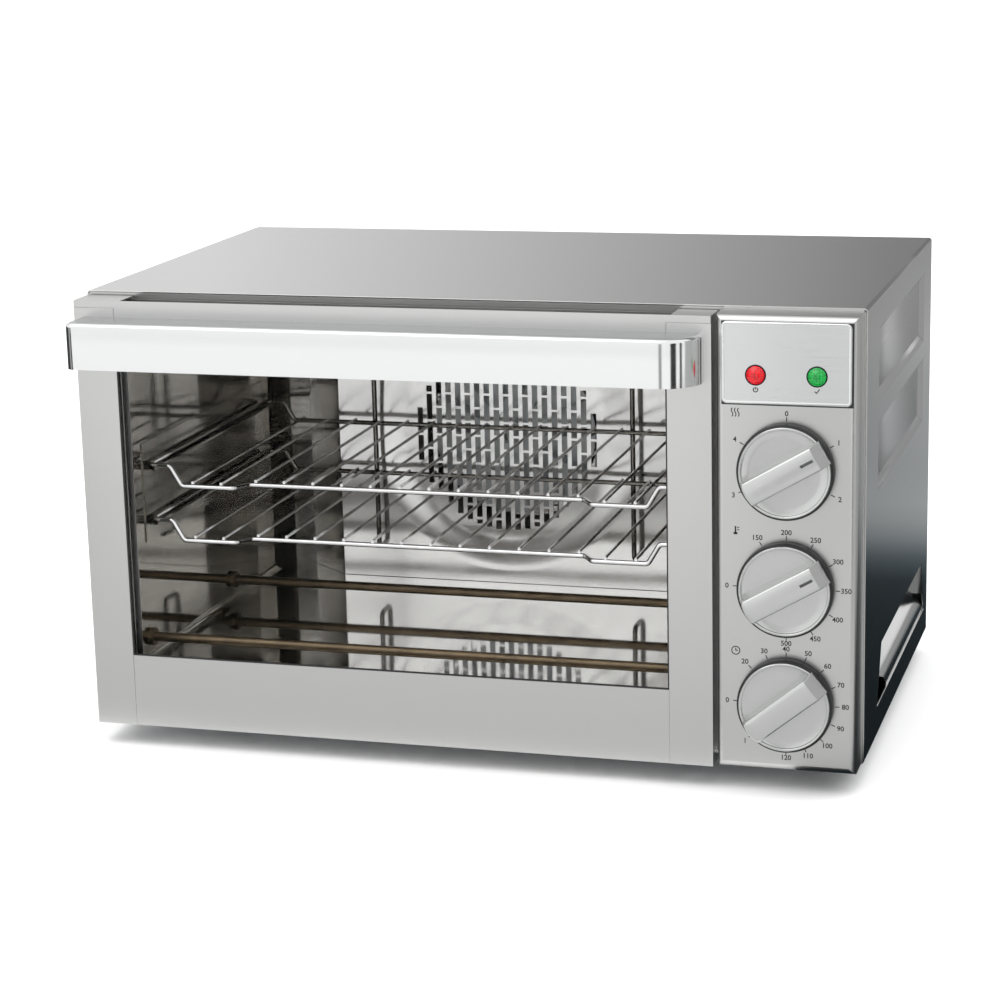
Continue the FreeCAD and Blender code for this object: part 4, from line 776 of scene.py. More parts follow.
# Sub-assemblies
@dataclass
class HandGrip:
    """The scoop behind a hand-grip's slot: bent in at the slot's foot and leaning in as it rises.

    Attributes:
        side: Minus one for the oven's left side, one for its right.
        foot_mm: The Z of the slot's foot.
        ends_mm: The Y of the slot's ends at its foot.
        taper: How much each end of the slot comes in as it rises.
        clear_mm: How far the scoop stays inside the wrap's wall.
        wall_mm: The thickness of the wrap's sheet.
        bend_mm: The radius of the bend at the scoop's foot.
        lean: How far it leans from upright once it is bent, in degrees.
        depth_mm: How deep it reaches.
        notch_mm: How far its front end is cut back at the foot.
        sheet_mm: The thickness of its sheet.
        bend_steps: How many facets turn the bend.
    """

    side: int
    foot_mm: float = 33.0
    ends_mm: tuple[float, float] = (-81.5, 136.5)
    taper: float = 16 / 36
    clear_mm: float = 0.1
    wall_mm: float = 0.8
    bend_mm: float = 14.0
    lean: float = 50.0
    depth_mm: float = 10.0
    notch_mm: float = 45.0
    sheet_mm: float = 0.8
    bend_steps: int = 10

    def build(self) -> None:
        """Makes the scoop."""
        low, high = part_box("outer_wrap")
        wall = (high.x if self.side > 0 else low.x) / MM
        shape = bmesh.new()
        rows = []
        profile = self.profile()
        for depth, rise in profile:
            share = rise / profile[-1][1]
            inset = self.taper * rise
            front = self.ends_mm[0] + inset + self.notch_mm * (1 - share ** 2)
            x = wall - self.side * (self.wall_mm + self.clear_mm + depth)
            places = ((x, front, self.foot_mm + rise), (x, self.ends_mm[1] - inset, self.foot_mm + rise))
            rows.append([shape.verts.new(Vector(place) * MM) for place in places])
        for lower, upper in zip(rows, rows[1:]):
            shape.faces.new((lower[0], lower[1], upper[1], upper[0]))
        for face in shape.faces:
            face.normal_update()
            if face.normal.x * self.side < 0:
                face.normal_flip()
        bmesh.ops.solidify(shape, geom=shape.faces[:], thickness=self.sheet_mm * MM)
        side = "right" if self.side > 0 else "left"
        mesh_piece(f"hand_grip_scoop_{side}", "cabinet", shape, SCOOP_STEEL)

    def profile(self) -> list[tuple[float, float]]:
        """Lists the scoop's section.

        Returns:
            Each point's depth behind the wall and its rise over the slot's foot, in millimetres.
        """
        points = []
        for step in range(self.bend_steps + 1):
            turn = math.radians(self.lean * step / self.bend_steps)
            points.append((self.bend_mm * (1 - math.cos(turn)), self.bend_mm * math.sin(turn)))
        bent, rise = points[-1]
        for share in (0.5, 1.0):
            depth = bent + (self.depth_mm - bent) * share
            points.append((depth, rise + (depth - bent) / math.tan(math.radians(self.lean))))
        return points


@dataclass
class Cabinet:
    """The wrap, base, back, rear cover and feet.

    Attributes:
        edge_mm: The radius of the sheets' edges.
        screw_inset_mm: How far the rear panel's screws are from its sides.
        screw_rise_mm: How far they are from its top and bottom.
        cover_reach_mm: How far the motor cover's screws are above and below its middle.
        cover_inset_mm: How far they are from its sides.
        cross_mm: The length and the width of a cross recess in a screw's head.
        cross_depth_mm: Half its depth.
    """

    edge_mm: float = 0.25
    screw_inset_mm: float = 8.0
    screw_rise_mm: float = 18.0
    cover_reach_mm: float = 35.0
    cover_inset_mm: float = 5.0
    cross_mm: tuple[float, float] = (3.4, 0.8)
    cross_depth_mm: float = 0.05

    def build(self) -> None:
        """Dresses the cabinet's own sheets and what is fixed to them."""
        dress(("outer_wrap",), WRAP_STEEL, self.edge_mm)
        dress(("front_frame",), FRONT_STEEL)
        dress(("base_pan", "rear_panel", "motor_bracket"), ZINC_SHEET)
        dress(("motor_cover",), ZINC_SHEET, self.edge_mm)
        dress(("hinge_bracket_left", "hinge_bracket_right"), ZINC_SHEET)
        dress(("insulation_blanket", "insulation_rear"), WOOL)
        dress(("foot_front_left", "foot_front_right", "foot_rear_left", "foot_rear_right"), RUBBER, 0.8)
        dress(("cord_gland",), RUBBER, 0.5)
        dress(("panel_screws", "foot_screws", "baffle_screws"), SCREW_ZINC)
        for side in (-1, 1):
            HandGrip(side).build()
        self.cross_recesses()

    def cross_recesses(self) -> None:
        """Draws the cross recesses in the heads of the back's screws as thin grey marks: painted shade."""
        low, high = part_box("rear_panel")
        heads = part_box("panel_screws")[1].y
        shape = bmesh.new()
        for x in (low.x + self.screw_inset_mm * MM, high.x - self.screw_inset_mm * MM):
            for z in (low.z + self.screw_rise_mm * MM, high.z - self.screw_rise_mm * MM):
                self.cross(shape, Vector((x, heads - MM, z)))
        low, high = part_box("motor_cover")
        middle = (low.z + high.z) / 2
        for x in (low.x + self.cover_inset_mm * MM, high.x - self.cover_inset_mm * MM):
            for z in (middle - self.cover_reach_mm * MM, middle + self.cover_reach_mm * MM):
                self.cross(shape, Vector((x, heads, z)))
        mesh_piece("screw_recess_shades", "cabinet", shape, RECESS_SHADE_PAINT)

    def cross(self, shape: bmesh.types.BMesh, place: Vector) -> None:
        """Adds one cross.

        Args:
            shape: The mesh.
            place: The middle of the screw's head.
        """
        length, width = (size * MM / 2 for size in self.cross_mm)
        depth = self.cross_depth_mm * MM
        for x, z in ((length, width), (width, length)):
            reach = Vector((x, depth, z))
            block(shape, place - reach, place + reach)


@dataclass
class Cavity:
    """The cooking box with its baffle, racks, guides, heating rods and fan."""

    def build(self) -> None:
        """Dresses the cavity's fittings."""
        dress(("cavity_liner",), LINER_STEEL)
        dress(("rack_guide_left", "rack_guide_right"), GUIDE_STEEL_SHADED)
        dress(("fan_baffle",), BAFFLE_STEEL_LIT)
        dress(("lower_rack", "upper_rack", "rack_stop_left", "rack_stop_right"), WIRE_CHROME)
        dress(
            ("lower_front_heater", "lower_rear_heater", "upper_front_heater", "upper_rear_heater"),
            SHEATH,
        )
        dress(("fan_wheel",), FAN_ALUMINIUM)
        dress(("fan_nut",), SCREW_ZINC)
        dress(("fan_shaft",), TURNED_STEEL)
        dress(("fan_motor",), MOTOR_LACQUER)


@dataclass
class Handle:
    """The folded channel across the door's top: closed above, open below, with a tab at each end.

    Attributes:
        wall_mm: The thickness of its sheet.
        left_mm: The outer radius of its left corner.
        right_mm: The outer radius of its right end.
        fold_mm: The outer radius of the fold between its face and its top.
        tab_mm: The width of the tabs that its screws hold.
        gap_mm: How far its back edges stay off the door.
        corner_steps: How many facets turn each end.
        fold_steps: How many facets turn the fold.
    """

    wall_mm: float = 2.4
    left_mm: float = 6.0
    right_mm: float = 22.5
    fold_mm: float = 2.4
    tab_mm: float = 12.0
    gap_mm: float = 0.02
    corner_steps: int = 16
    fold_steps: int = 4

    def build(self) -> None:
        """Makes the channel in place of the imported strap."""
        low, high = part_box("door_handle")
        shape = bmesh.new()
        self.channel(shape, low, high)
        back = high.y - self.gap_mm * MM
        wall, width = self.wall_mm * MM, self.tab_mm * MM
        for left in (low.x + wall, high.x - wall - width):
            block(shape, Vector((left, back - wall, low.z)), Vector((left + width, back, high.z - wall)))
        channel = mesh_piece("door_handle_channel", "door", shape, HANDLE_STEEL, HANDLE_TOP_SHADED)
        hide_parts("door_handle")

    def channel(self, shape: bmesh.types.BMesh, low: Vector, high: Vector) -> None:
        """Adds the folded sheet.

        Args:
            shape: The mesh.
            low: The handle's low corner.
            high: Its high corner.
        """
        section = [(0.0, low.z)]
        for step in range(self.fold_steps + 1):
            turn = math.pi / 2 * step / self.fold_steps
            inset = self.fold_mm * (1 - math.cos(turn))
            section.append((inset, high.z - self.fold_mm * (1 - math.sin(turn)) * MM))
        section += [(self.wall_mm, high.z - self.wall_mm * MM), (self.wall_mm, low.z)]
        rings = []
        for inset, z in section:
            rings.append([shape.verts.new((x, y, z)) for x, y in self.outline(low, high, inset)])
        *outer, ceiling, foot = rings
        # The top face takes the darker copy of the steel: painted shade
        shape.faces.new(outer[-1]).material_index = 1
        shape.faces.new(ceiling)
        for first, second in (*zip(outer, outer[1:]), (ceiling, foot), (foot, outer[0])):
            for index in range(len(first) - 1):
                shape.faces.new((first[index], first[index + 1], second[index + 1], second[index]))
        left_end = [ring[0] for ring in outer]
        right_end = [ring[-1] for ring in reversed(outer)]
        shape.faces.new(left_end + right_end + [foot[-1], ceiling[-1], ceiling[0], foot[0]])

    def outline(self, low: Vector, high: Vector, inset_mm: float) -> list[tuple[float, float]]:
        """Lists the points of the sheet's plan, from its left end round both bends to its right end.

        Args:
            low: The handle's low corner.
            high: Its high corner.
            inset_mm: How far inside the outer face the points lie.

        Returns:
            The X and Y of each point.
        """
        inset = inset_mm * MM
        back = high.y - self.gap_mm * MM
        points = [(low.x + inset, back)]
        for quarter, radius_mm in ((2, self.left_mm), (3, self.right_mm)):
            radius = radius_mm * MM
            centre = low.x + radius if quarter == 2 else high.x - radius
            for step in range(self.corner_steps + 1):
                turn = math.pi / 2 * (quarter + step / self.corner_steps)
                across, out = math.cos(turn) * (radius - inset), math.sin(turn) * (radius - inset)
                points.append((centre + across, low.y + radius + out))
        points.append((high.x - inset, back))
        return points


@dataclass
class Door:
    """The door's sheets, panes, seal, hinges and handle.

    Attributes:
        edge_mm: The radius of the folded sheets' edges, which shows as a fine line at each seam.
        bead_mm: The width of the dark bead between the outer pane and the sheets round it.
        bead_drop_mm: How far the bead lies below the sheets' face.
    """

    edge_mm: float = 0.35
    bead_mm: float = 0.9
    bead_drop_mm: float = 0.35

    def build(self) -> None:
        """Dresses the door and lays its glazing bead."""
        sheets = ("door_left_stile", "door_right_stile", "door_top_rail", "door_bottom_rail")
        dress(sheets, FRONT_STEEL, self.edge_mm)
        dress(("door_inner_frame",), FRONT_STEEL)
        dress(("door_outer_glass", "door_inner_glass"), PANE)
        dress(("door_gasket",), SEAL)
        Handle().build()
        dress(("handle_screws",), SCREW_ZINC)
        dress(("hinge_arm_left", "hinge_arm_right"), ZINC_SHEET)
        dress(("hinge_pins",), TURNED_STEEL)
        self.glazing_bead()

    def glazing_bead(self) -> None:
        """Lays a dark bead round the outer pane, inside the edges of its opening."""
        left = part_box("door_bottom_rail")[0].x
        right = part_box("door_bottom_rail")[1].x
        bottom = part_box("door_bottom_rail")[1].z
        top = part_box("door_top_rail")[0].z
        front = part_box("door_bottom_rail")[0].y + self.bead_drop_mm * MM
        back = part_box("door_outer_glass")[0].y
        width = self.bead_mm * MM
        shape = bmesh.new()
        for x0, x1, z0, z1 in (
            (left, left + width, bottom, top),
            (right - width, right, bottom, top),
            (left + width, right - width, bottom, bottom + width),
            (left + width, right - width, top - width, top),
        ):
            block(shape, Vector((x0, front, z0)), Vector((x1, back, z1)))
        mesh_piece("door_glazing_bead", "door", shape, SEAL)


@dataclass
class Dial:
    """A silvered dial: a skirt drawn black as painted shade, a light lip round a sunk face, and a grip bar
    across it.

    Attributes:
        name: The dial's own name, which its knob, spindle and body share.
        pointer: Where its grip points, in degrees clockwise from the top.
        slotted: Whether the grip has a pointer slot; the other kind has a rib across its tip.
        skirt: The skirt's rings, as radius and reach in millimetres.
        lip: The rings of the lip round the face.
        face: The rings of the sunk face.
        half_width_mm: Half the grip's width.
        round_mm: The radius of the grip's long edges.
        crown_mm: How much the grip's back falls from its middle to its edges.
        base_mm: The reach of the grip's foot, a little inside the face.
        top_mm: The reach of the grip's back.
        tail_mm: The radius that the grip's tail follows at its top and at its foot.
        tip_mm: Where the slope down to the rim starts and ends.
        slope_foot_mm: The reach of the slope's end.
        slot_mm: Where the slot starts and ends along the grip.
        slot_half_mm: Half the slot's width.
        slot_depth_mm: Its depth.
        rib_mm: Where the rib across the tip of a grip without a slot starts.
    """

    name: str
    pointer: float
    slotted: bool = True
    skirt: tuple[tuple[float, float], ...] = (
        (4.5, 0.0), (27.6, 0.0), (27.9, 0.3), (27.9, 5.2), (27.6, 5.8), (26.9, 6.1), (26.6, 6.1),
    )
    lip: tuple[tuple[float, float], ...] = (
        (26.6, 6.1), (26.5, 6.9), (26.2, 7.2), (25.6, 7.2), (25.1, 6.9), (24.8, 6.2),
    )
    face: tuple[tuple[float, float], ...] = (
        (24.8, 6.2), (24.2, 5.95), (20.0, 5.8), (12.0, 5.65), (0.0, 5.6),
    )
    half_width_mm: float = 7.25
    round_mm: float = 1.5
    crown_mm: float = 0.6
    base_mm: float = 5.3
    top_mm: float = 16.2
    tail_mm: tuple[float, float] = (24.5, 26.0)
    tip_mm: tuple[float, float] = (22.0, 26.3)
    slope_foot_mm: float = 7.3
    slot_mm: tuple[float, float] = (12.5, 20.5)
    slot_half_mm: float = 0.8
    slot_depth_mm: float = 1.0
    rib_mm: float = 18.0

    def build(self) -> None:
        """Makes the dial in place of its knob."""
        low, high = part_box(f"{self.name}_shaft")
        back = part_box(f"{self.name}_knob")[1].y
        centre = Vector(((low.x + high.x) / 2, back, (low.z + high.z) / 2))
        shape = bmesh.new()
        turned(shape, centre, self.skirt, 0)
        turned(shape, centre, self.lip, 1)
        turned(shape, centre, self.face, 1)
        bmesh.ops.remove_doubles(shape, verts=shape.verts, dist=WELD_MM * MM)
        # The skirt is drawn black as painted shade round the dial
        rim = mesh_piece(f"{self.name}_dial_face", f"{self.name}_dial", shape, SKIRT_SHADE_BLACK, SATIN_ABS)
        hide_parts(f"{self.name}_knob")
        shape = bmesh.new()
        self.grip(shape, centre)
        grip = mesh_piece(f"{self.name}_dial_grip", f"{self.name}_dial", shape, SATIN_ABS, RECESS_SHADE_PAINT)
        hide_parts(f"{self.name}_knob")

    def back_height(self, along: float, across: float) -> float:
        """Works out how far the grip's back stands out.

        Args:
            along: The distance from the middle towards the pointer, in millimetres.
            across: The distance to the side, in millimetres.

        Returns:
            The reach from the dial's back, in millimetres.
        """
        height = self.top_mm - self.crown_mm * (across / self.half_width_mm) ** 2
        beyond = abs(across) - (self.half_width_mm - self.round_mm)
        if beyond > 0:
            height -= self.round_mm - math.sqrt(max(self.round_mm ** 2 - beyond ** 2, 0.0))
        start, end = self.tip_mm
        if along > start:
            fall = (along - start) / (end - start)
            height -= fall * (height - self.slope_foot_mm)
        inside = self.slot_mm[0] < along < self.slot_mm[1] and abs(across) < self.slot_half_mm
        if self.slotted and inside:
            height -= self.slot_depth_mm
        if not self.slotted and along < self.rib_mm:
            height -= self.slot_depth_mm / 2
        return height

    def stations_across(self) -> list[float]:
        """Lists where the grip's mesh has rows, from side to side.

        Returns:
            The distances to the side, in millimetres.
        """
        half = self.half_width_mm
        edge = [half, half - 0.08, half - 0.35, half - 0.8, half - self.round_mm]
        slot = [self.slot_half_mm + 0.05, self.slot_half_mm - 0.05]
        right = [0.0] + slot[::-1] + [2.5, 4.2] + edge[::-1]
        return [-value for value in right[:0:-1]] + right

    def stations_along(self) -> list[float]:
        """Lists where the grip's mesh has columns between its two rounded ends.

        Returns:
            The distances towards the pointer, in millimetres.
        """
        start, end = self.tip_mm
        edges = [place + step for place in (*self.slot_mm, self.rib_mm) for step in (-0.05, 0.05)]
        body = sorted([-20.0, -15.0, -10.0, -5.0, 0.0, 5.0, 9.0] + edges)
        return body + [start + (end - start) * share for share in (0.0, 0.25, 0.5, 0.75, 1.0)]

    def grip(self, shape: bmesh.types.BMesh, centre: Vector) -> None:
        """Adds the grip bar.

        Args:
            shape: The mesh.
            centre: The middle of the dial's back.
        """
        turn = math.radians(self.pointer)
        ahead = Vector((math.sin(turn), 0.0, math.cos(turn)))
        aside = Vector((math.cos(turn), 0.0, -math.sin(turn)))
        towards = Vector((0.0, -1.0, 0.0))
        stations = self.stations_across()
        rows = []
        for across in [stations[0] - 0.15] + stations + [stations[-1] + 0.15]:
            foot = abs(across) > self.half_width_mm
            inner, outer = (math.sqrt(radius ** 2 - across ** 2) for radius in self.tail_mm)
            points = [(-outer, self.base_mm)]
            for step, drop in ((0.0, self.round_mm), (0.2, 0.75), (0.6, 0.3), (self.round_mm, 0.0)):
                along = -inner + step
                points.append((along, self.back_height(along, across) - drop))
            for along in self.stations_along():
                points.append((along, self.back_height(along, across)))
            points.append((self.tip_mm[1] + 0.3, self.base_mm))
            row = []
            for along, height in points:
                reach = self.base_mm if foot else height
                place = ahead * along + aside * across + towards * reach
                row.append(shape.verts.new(centre + place * MM))
            rows.append(row)
        for first, second in zip(rows, rows[1:]):
            for index in range(len(first) - 1):
                shape.faces.new((first[index], first[index + 1], second[index + 1], second[index]))
        self.paint_slot(shape, centre, ahead, aside)

    def paint_slot(self, shape: bmesh.types.BMesh, centre: Vector, ahead: Vector, aside: Vector) -> None:
        """Gives the faces on the slot's floor the grey paint, which is also painted shade for the slot's
        recess.

        Args:
            shape: The mesh.
            centre: The middle of the dial's back.
            ahead: The direction of the pointer.
            aside: The direction across the grip.
        """
        if not self.slotted:
            return
        start, end = self.slot_mm
        for face in shape.faces:
            offset = (face.calc_center_median() - centre) / MM
            if start < offset.dot(ahead) < end and abs(offset.dot(aside)) < self.slot_half_mm:
                face.material_index = 1


@dataclass(frozen=True)
class Mark:
    """One tick of a dial's scale.

    Attributes:
        angle: Its place, in degrees clockwise from the top.
        label: The number beside it, or nothing.
    """

    angle: float
    label: str = ""


class Sign(Enum):
    """The plain signs printed on the panel."""

    HEAT = "three rising waves"
    THERMOMETER = "a bulb with a stem"
    CLOCK = "a ring with two hands"
    POWER = "a broken ring with a bar"
    TICK = "a tick"
    STROKE = "an upright bar"


@dataclass
class Print:
    """What is screen-printed on one flat face of the control side.

    Attributes:
        name: The printed piece's name.
        surface: The node whose front it is printed on.
        line_mm: The width of its lines.
        film_mm: The thickness of the ink.
    """

    name: str
    surface: str
    line_mm: float = 0.55
    film_mm: float = 0.03

    def __post_init__(self) -> None:
        """Starts with nothing printed."""
        self.shape = bmesh.new()
        self.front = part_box(self.surface)[0].y - self.film_mm * MM

    def line(self, points: list[Vector], width_mm: float = 0.0) -> None:
        """Prints a line through points.

        Args:
            points: The points, whose X and Z count.
            width_mm: Its width, or nought for the usual one.
        """
        half = (width_mm or self.line_mm) * MM / 2
        for start, end in zip(points, points[1:]):
            ahead = Vector((end.x - start.x, 0.0, end.z - start.z)).normalized()
            aside = Vector((-ahead.z, 0.0, ahead.x)) * half
            first = Vector((start.x, self.front, start.z)) - ahead * half / 2
            last = Vector((end.x, self.front, end.z)) + ahead * half / 2
            corners = (first - aside, last - aside, last + aside, first + aside)
            self.shape.faces.new([self.shape.verts.new(corner) for corner in corners])

    def arc(self, centre: Vector, radius_mm: float, start: float, end: float) -> None:
        """Prints an arc.

        Args:
            centre: Its centre.
            radius_mm: Its radius.
            start: Where it starts, in degrees clockwise from the top.
            end: Where it ends.
        """
        steps = max(int(abs(end - start) / 15), 2)
        points = []
        for index in range(steps + 1):
            turn = math.radians(start + (end - start) * index / steps)
            points.append(centre + Vector((math.sin(turn), 0.0, math.cos(turn))) * radius_mm * MM)
        self.line(points)

    def figures(self, text: str, place: Vector, height_mm: float) -> None:
        """Prints a number, centred on a point.

        Args:
            text: The number.
            place: Its centre.
            height_mm: How tall its figures are.
        """
        share_of_size = 0.69
        extra_weight = 0.028
        curve = bpy.data.curves.new("figures", "FONT")
        curve.body = text
        curve.align_x = "CENTER"
        curve.align_y = "CENTER"
        curve.size = height_mm * MM / share_of_size
        curve.offset = extra_weight * height_mm * MM
        curve.resolution_u = 3
        holder = bpy.data.objects.new("figures", curve)
        mesh = bpy.data.meshes.new_from_object(holder)
        upright = Matrix.Translation((place.x, self.front, place.z)) @ Matrix.Rotation(math.pi / 2, 4, "X")
        mesh.transform(upright)
        self.shape.from_mesh(mesh)
        bpy.data.objects.remove(holder)
        bpy.data.curves.remove(curve)
        bpy.data.meshes.remove(mesh)

    def sign(self, kind: Sign, place: Vector, size_mm: float) -> None:
        """Prints a plain sign, centred on a point.

        Args:
            kind: Which sign.
            place: Its centre.
            size_mm: How tall it is.
        """
        half = size_mm / 2

        def at(x: float, z: float) -> Vector:
            """Finds a point of the sign from its place in halves of its height."""
            return place + Vector((x, 0.0, z)) * half * MM

        if kind is Sign.HEAT:
            for shift in (-0.75, 0.0, 0.75):
                waves = [at(shift + 0.2 * math.sin(step * 0.9), step / 3.5 - 1.0) for step in range(8)]
                self.line(waves)
        elif kind is Sign.THERMOMETER:
            self.line([at(0.0, -0.6), at(0.0, 1.0)], 0.9)
            self.line([at(-0.35, -0.65), at(0.35, -0.65)], 1.3)
            self.line([at(0.45, 0.8), at(0.85, 0.8)])
            self.line([at(0.45, 0.2), at(0.85, 0.2)])
        elif kind is Sign.CLOCK:
            self.arc(place, half, 0.0, 360.0)
            self.line([at(0.0, 0.6), at(0.0, 0.0), at(0.45, 0.0)])
        elif kind is Sign.POWER:
            self.arc(place, half * 0.85, 35.0, 325.0)
            self.line([at(0.0, 0.1), at(0.0, 1.0)])
        elif kind is Sign.TICK:
            self.line([at(-0.8, 0.0), at(-0.2, -0.7), at(0.9, 0.8)])
        else:
            self.line([at(0.0, -1.0), at(0.0, 1.0)])

    def finish(self) -> None:
        """Gives the ink its thickness and makes the piece."""
        for face in self.shape.faces:
            face.normal_update()
            if face.normal.y > 0:
                face.normal_flip()
        bmesh.ops.solidify(self.shape, geom=self.shape.faces[:], thickness=self.film_mm * MM / 2)
        mesh_piece(self.name, "cabinet", self.shape, INK)


@dataclass
class DialScale:
    """The ticks, numbers and sign printed round one dial.

    Attributes:
        name: The dial's name.
        marks: Its ticks.
        sign: The sign that says what the dial sets.
        sign_place_mm: Where the sign stands from the dial's middle, to the right and up.
        ticks_mm: The radii where a tick starts and ends.
        side_mm: How far out a number stands at the sides.
        end_mm: How far out a number stands at the top and the bottom.
        figure_mm: How tall the numbers are.
        sign_mm: How tall the sign is.
    """

    name: str
    marks: tuple[Mark, ...]
    sign: Sign
    sign_place_mm: tuple[float, float] = (-29.5, 33.0)
    ticks_mm: tuple[float, float] = (28.7, 31.0)
    side_mm: float = 34.6
    end_mm: float = 33.0
    figure_mm: float = 2.9
    sign_mm: float = 4.8

    def build(self, ink: Print) -> None:
        """Prints the scale.

        Args:
            ink: The panel's print.
        """
        low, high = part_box(f"{self.name}_shaft")
        centre = Vector(((low.x + high.x) / 2, 0.0, (low.z + high.z) / 2))
        for mark in self.marks:
            turn = math.radians(mark.angle)
            spoke = Vector((math.sin(turn), 0.0, math.cos(turn))) * MM
            start, end = self.ticks_mm
            ink.line([centre + spoke * start, centre + spoke * end])
            reach = self.end_mm + (self.side_mm - self.end_mm) * abs(math.sin(turn))
            if mark.label:
                ink.figures(mark.label, centre + spoke * reach, self.figure_mm)
            else:
                ink.sign(Sign.STROKE, centre + spoke * reach, self.figure_mm)
        right, up = self.sign_place_mm
        ink.sign(self.sign, centre + Vector((right, 0.0, up)) * MM, self.sign_mm)
        log.info("printed the %s scale", self.name)


@dataclass
class PilotLamp:
    """A neon pilot lamp's lens, with its seat round it drawn dark as painted shade.

    Attributes:
        name: The lamp's name.
        finish: The lens's finish.
        seat: The seat's rings, as radius and reach in millimetres.
    """

    name: str
    finish: Lens
    seat: tuple[tuple[float, float], ...] = ((5.3, 0.0), (6.0, 0.0), (6.05, 0.2), (5.75, 0.45), (5.35, 0.5))

    def build(self) -> None:
        """Dresses the lens and lays its seat."""
        dress((self.name,), self.finish)
        low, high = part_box(self.name)
        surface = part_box("badge_plate")[0].y
        shape = bmesh.new()
        centre = Vector(((low.x + high.x) / 2, surface, (low.z + high.z) / 2))
        turned(shape, centre, self.seat, 0, 48)
        mesh_piece(f"{self.name}_seat", "cabinet", shape, RIM_SHADE_CHROME)


@dataclass
class PlateBorder:
    """The polished raised border of the badge plate.

    Attributes:
        corner_mm: The radius of the plate's corners.
        section: Its section, as the inset from the plate's edge and the height over its face.
        corner_steps: How many facets turn each corner.
    """

    corner_mm: float = 3.0
    section: tuple[tuple[float, float], ...] = (
        (-0.05, -1.45), (-0.05, -0.35), (0.15, 0.05), (0.55, 0.25), (1.0, 0.22), (1.5, 0.05), (1.9, -0.1),
    )
    corner_steps: int = 6

    def build(self) -> None:
        """Lays the border round the plate."""
        low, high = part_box("badge_plate")
        shape = bmesh.new()
        rings = []
        for inset, height in self.section:
            ring = []
            for x, z in self.outline(low, high, inset):
                ring.append(shape.verts.new((x, low.y - height * MM, z)))
            rings.append(ring)
        for outer, inner in zip(rings, rings[1:]):
            for index, corner in enumerate(outer):
                before = index - 1
                shape.faces.new((outer[before], corner, inner[index], inner[before]))
        mesh_piece("badge_border", "cabinet", shape, PLATE_RIM, angle=60.0)

    def outline(self, low: Vector, high: Vector, inset_mm: float) -> list[tuple[float, float]]:
        """Lists the corners of one ring of the border.

        Args:
            low: The plate's low corner.
            high: Its high corner.
            inset_mm: How far inside the plate's edge the ring lies.

        Returns:
            The X and Z of its points, once round.
        """
        reach = self.corner_mm * MM
        radius = (self.corner_mm - inset_mm) * MM
        points = []
        quarters = (
            (high.x - reach, high.z - reach), (low.x + reach, high.z - reach),
            (low.x + reach, low.z + reach), (high.x - reach, low.z + reach),
        )
        for quarter, (x, z) in enumerate(quarters):
            for step in range(self.corner_steps + 1):
                turn = math.pi / 2 * (quarter + step / self.corner_steps)
                points.append((x + math.cos(turn) * radius, z + math.sin(turn) * radius))
        return points


@dataclass
class Controls:
    """The fascia with its badge plate, lamps, dials and the bodies behind them.

    Attributes:
        dials: The three dials.
        scales: What is printed round them.
        lamps: The two pilot lamps.
        sign_drop_mm: How far below a lamp its sign stands.
        lamp_sign_mm: How tall a lamp's sign is.
        seal_low_mm: How far the painted drop shadow behind the plate shows past its left and its lower edge.
        seal_high_mm: How far the painted drop shadow shows past its right and its upper edge.
        seal_rise_mm: How far the painted drop shadow stands out of the fascia.
    """

    dials: tuple[Dial, ...] = (
        Dial("function", 60.0), Dial("temperature", 60.0), Dial("timer", 51.0, slotted=False),
    )
    scales: tuple[DialScale, ...] = (
        DialScale(
            "function",
            (Mark(0, "0"), Mark(60, "1"), Mark(117, "2"), Mark(243, "3"), Mark(300, "4")),
            Sign.HEAT,
        ),
        DialScale(
            "temperature",
            (
                Mark(-90, "0"), Mark(-30, "150"), Mark(0, "200"), Mark(30, "250"), Mark(60, "300"),
                Mark(90, "350"), Mark(120, "400"), Mark(150, "450"), Mark(180, "500"),
            ),
            Sign.THERMOMETER,
        ),
        DialScale(
            "timer",
            (Mark(-135), Mark(-90, "0")) + tuple(
                Mark(-90 + 2.25 * minutes, str(minutes)) for minutes in range(20, 121, 10)
            ),
            Sign.CLOCK, (-29.5, 30.6),
        ),
    )
    lamps: tuple[PilotLamp, ...] = (PilotLamp("power_lamp", RED_LENS), PilotLamp("ready_lamp", GREEN_LENS))
    sign_drop_mm: float = 8.4
    lamp_sign_mm: float = 3.0
    seal_low_mm: tuple[float, float] = (0.2, 1.0)
    seal_high_mm: tuple[float, float] = (1.0, 0.2)
    seal_rise_mm: float = 0.5

    def plate_seal(self) -> None:
        """Lays a dark sheet behind the badge plate as a painted drop shadow, which shows as a line at its
        right and its foot.
        """
        low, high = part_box("badge_plate")
        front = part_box("control_fascia")[0].y
        left, below = (reach * MM for reach in self.seal_low_mm)
        right, above = (reach * MM for reach in self.seal_high_mm)
        shape = bmesh.new()
        block(
            shape,
            Vector((low.x - left, front - self.seal_rise_mm * MM, low.z - below)),
            Vector((high.x + right, front, high.z + above)),
        )
        mesh_piece("badge_drop_shadow", "cabinet", shape, SEAL)

    def build(self) -> None:
        """Dresses the control side, makes the dials and prints the panel."""
        dress(("control_fascia",), FRONT_STEEL)
        dress(("badge_plate",), BADGE_ALUMINIUM)
        PlateBorder().build()
        self.plate_seal()
        dress(("function_shaft", "temperature_shaft", "timer_shaft", "thermostat"), TURNED_STEEL)
        dress(("function_switch", "bake_timer"), PHENOLIC)
        for dial in self.dials:
            dial.build()
        panel = Print("panel_print", "control_fascia")
        for scale in self.scales:
            scale.build(panel)
        panel.finish()
        plate = Print("badge_print", "badge_plate")
        for lamp, sign in zip(self.lamps, (Sign.POWER, Sign.TICK)):
            lamp.build()
            low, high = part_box(lamp.name)
            place = (low + high) / 2 - Vector((0.0, 0.0, self.sign_drop_mm * MM))
            plate.sign(sign, place, self.lamp_sign_mm)
        plate.finish()


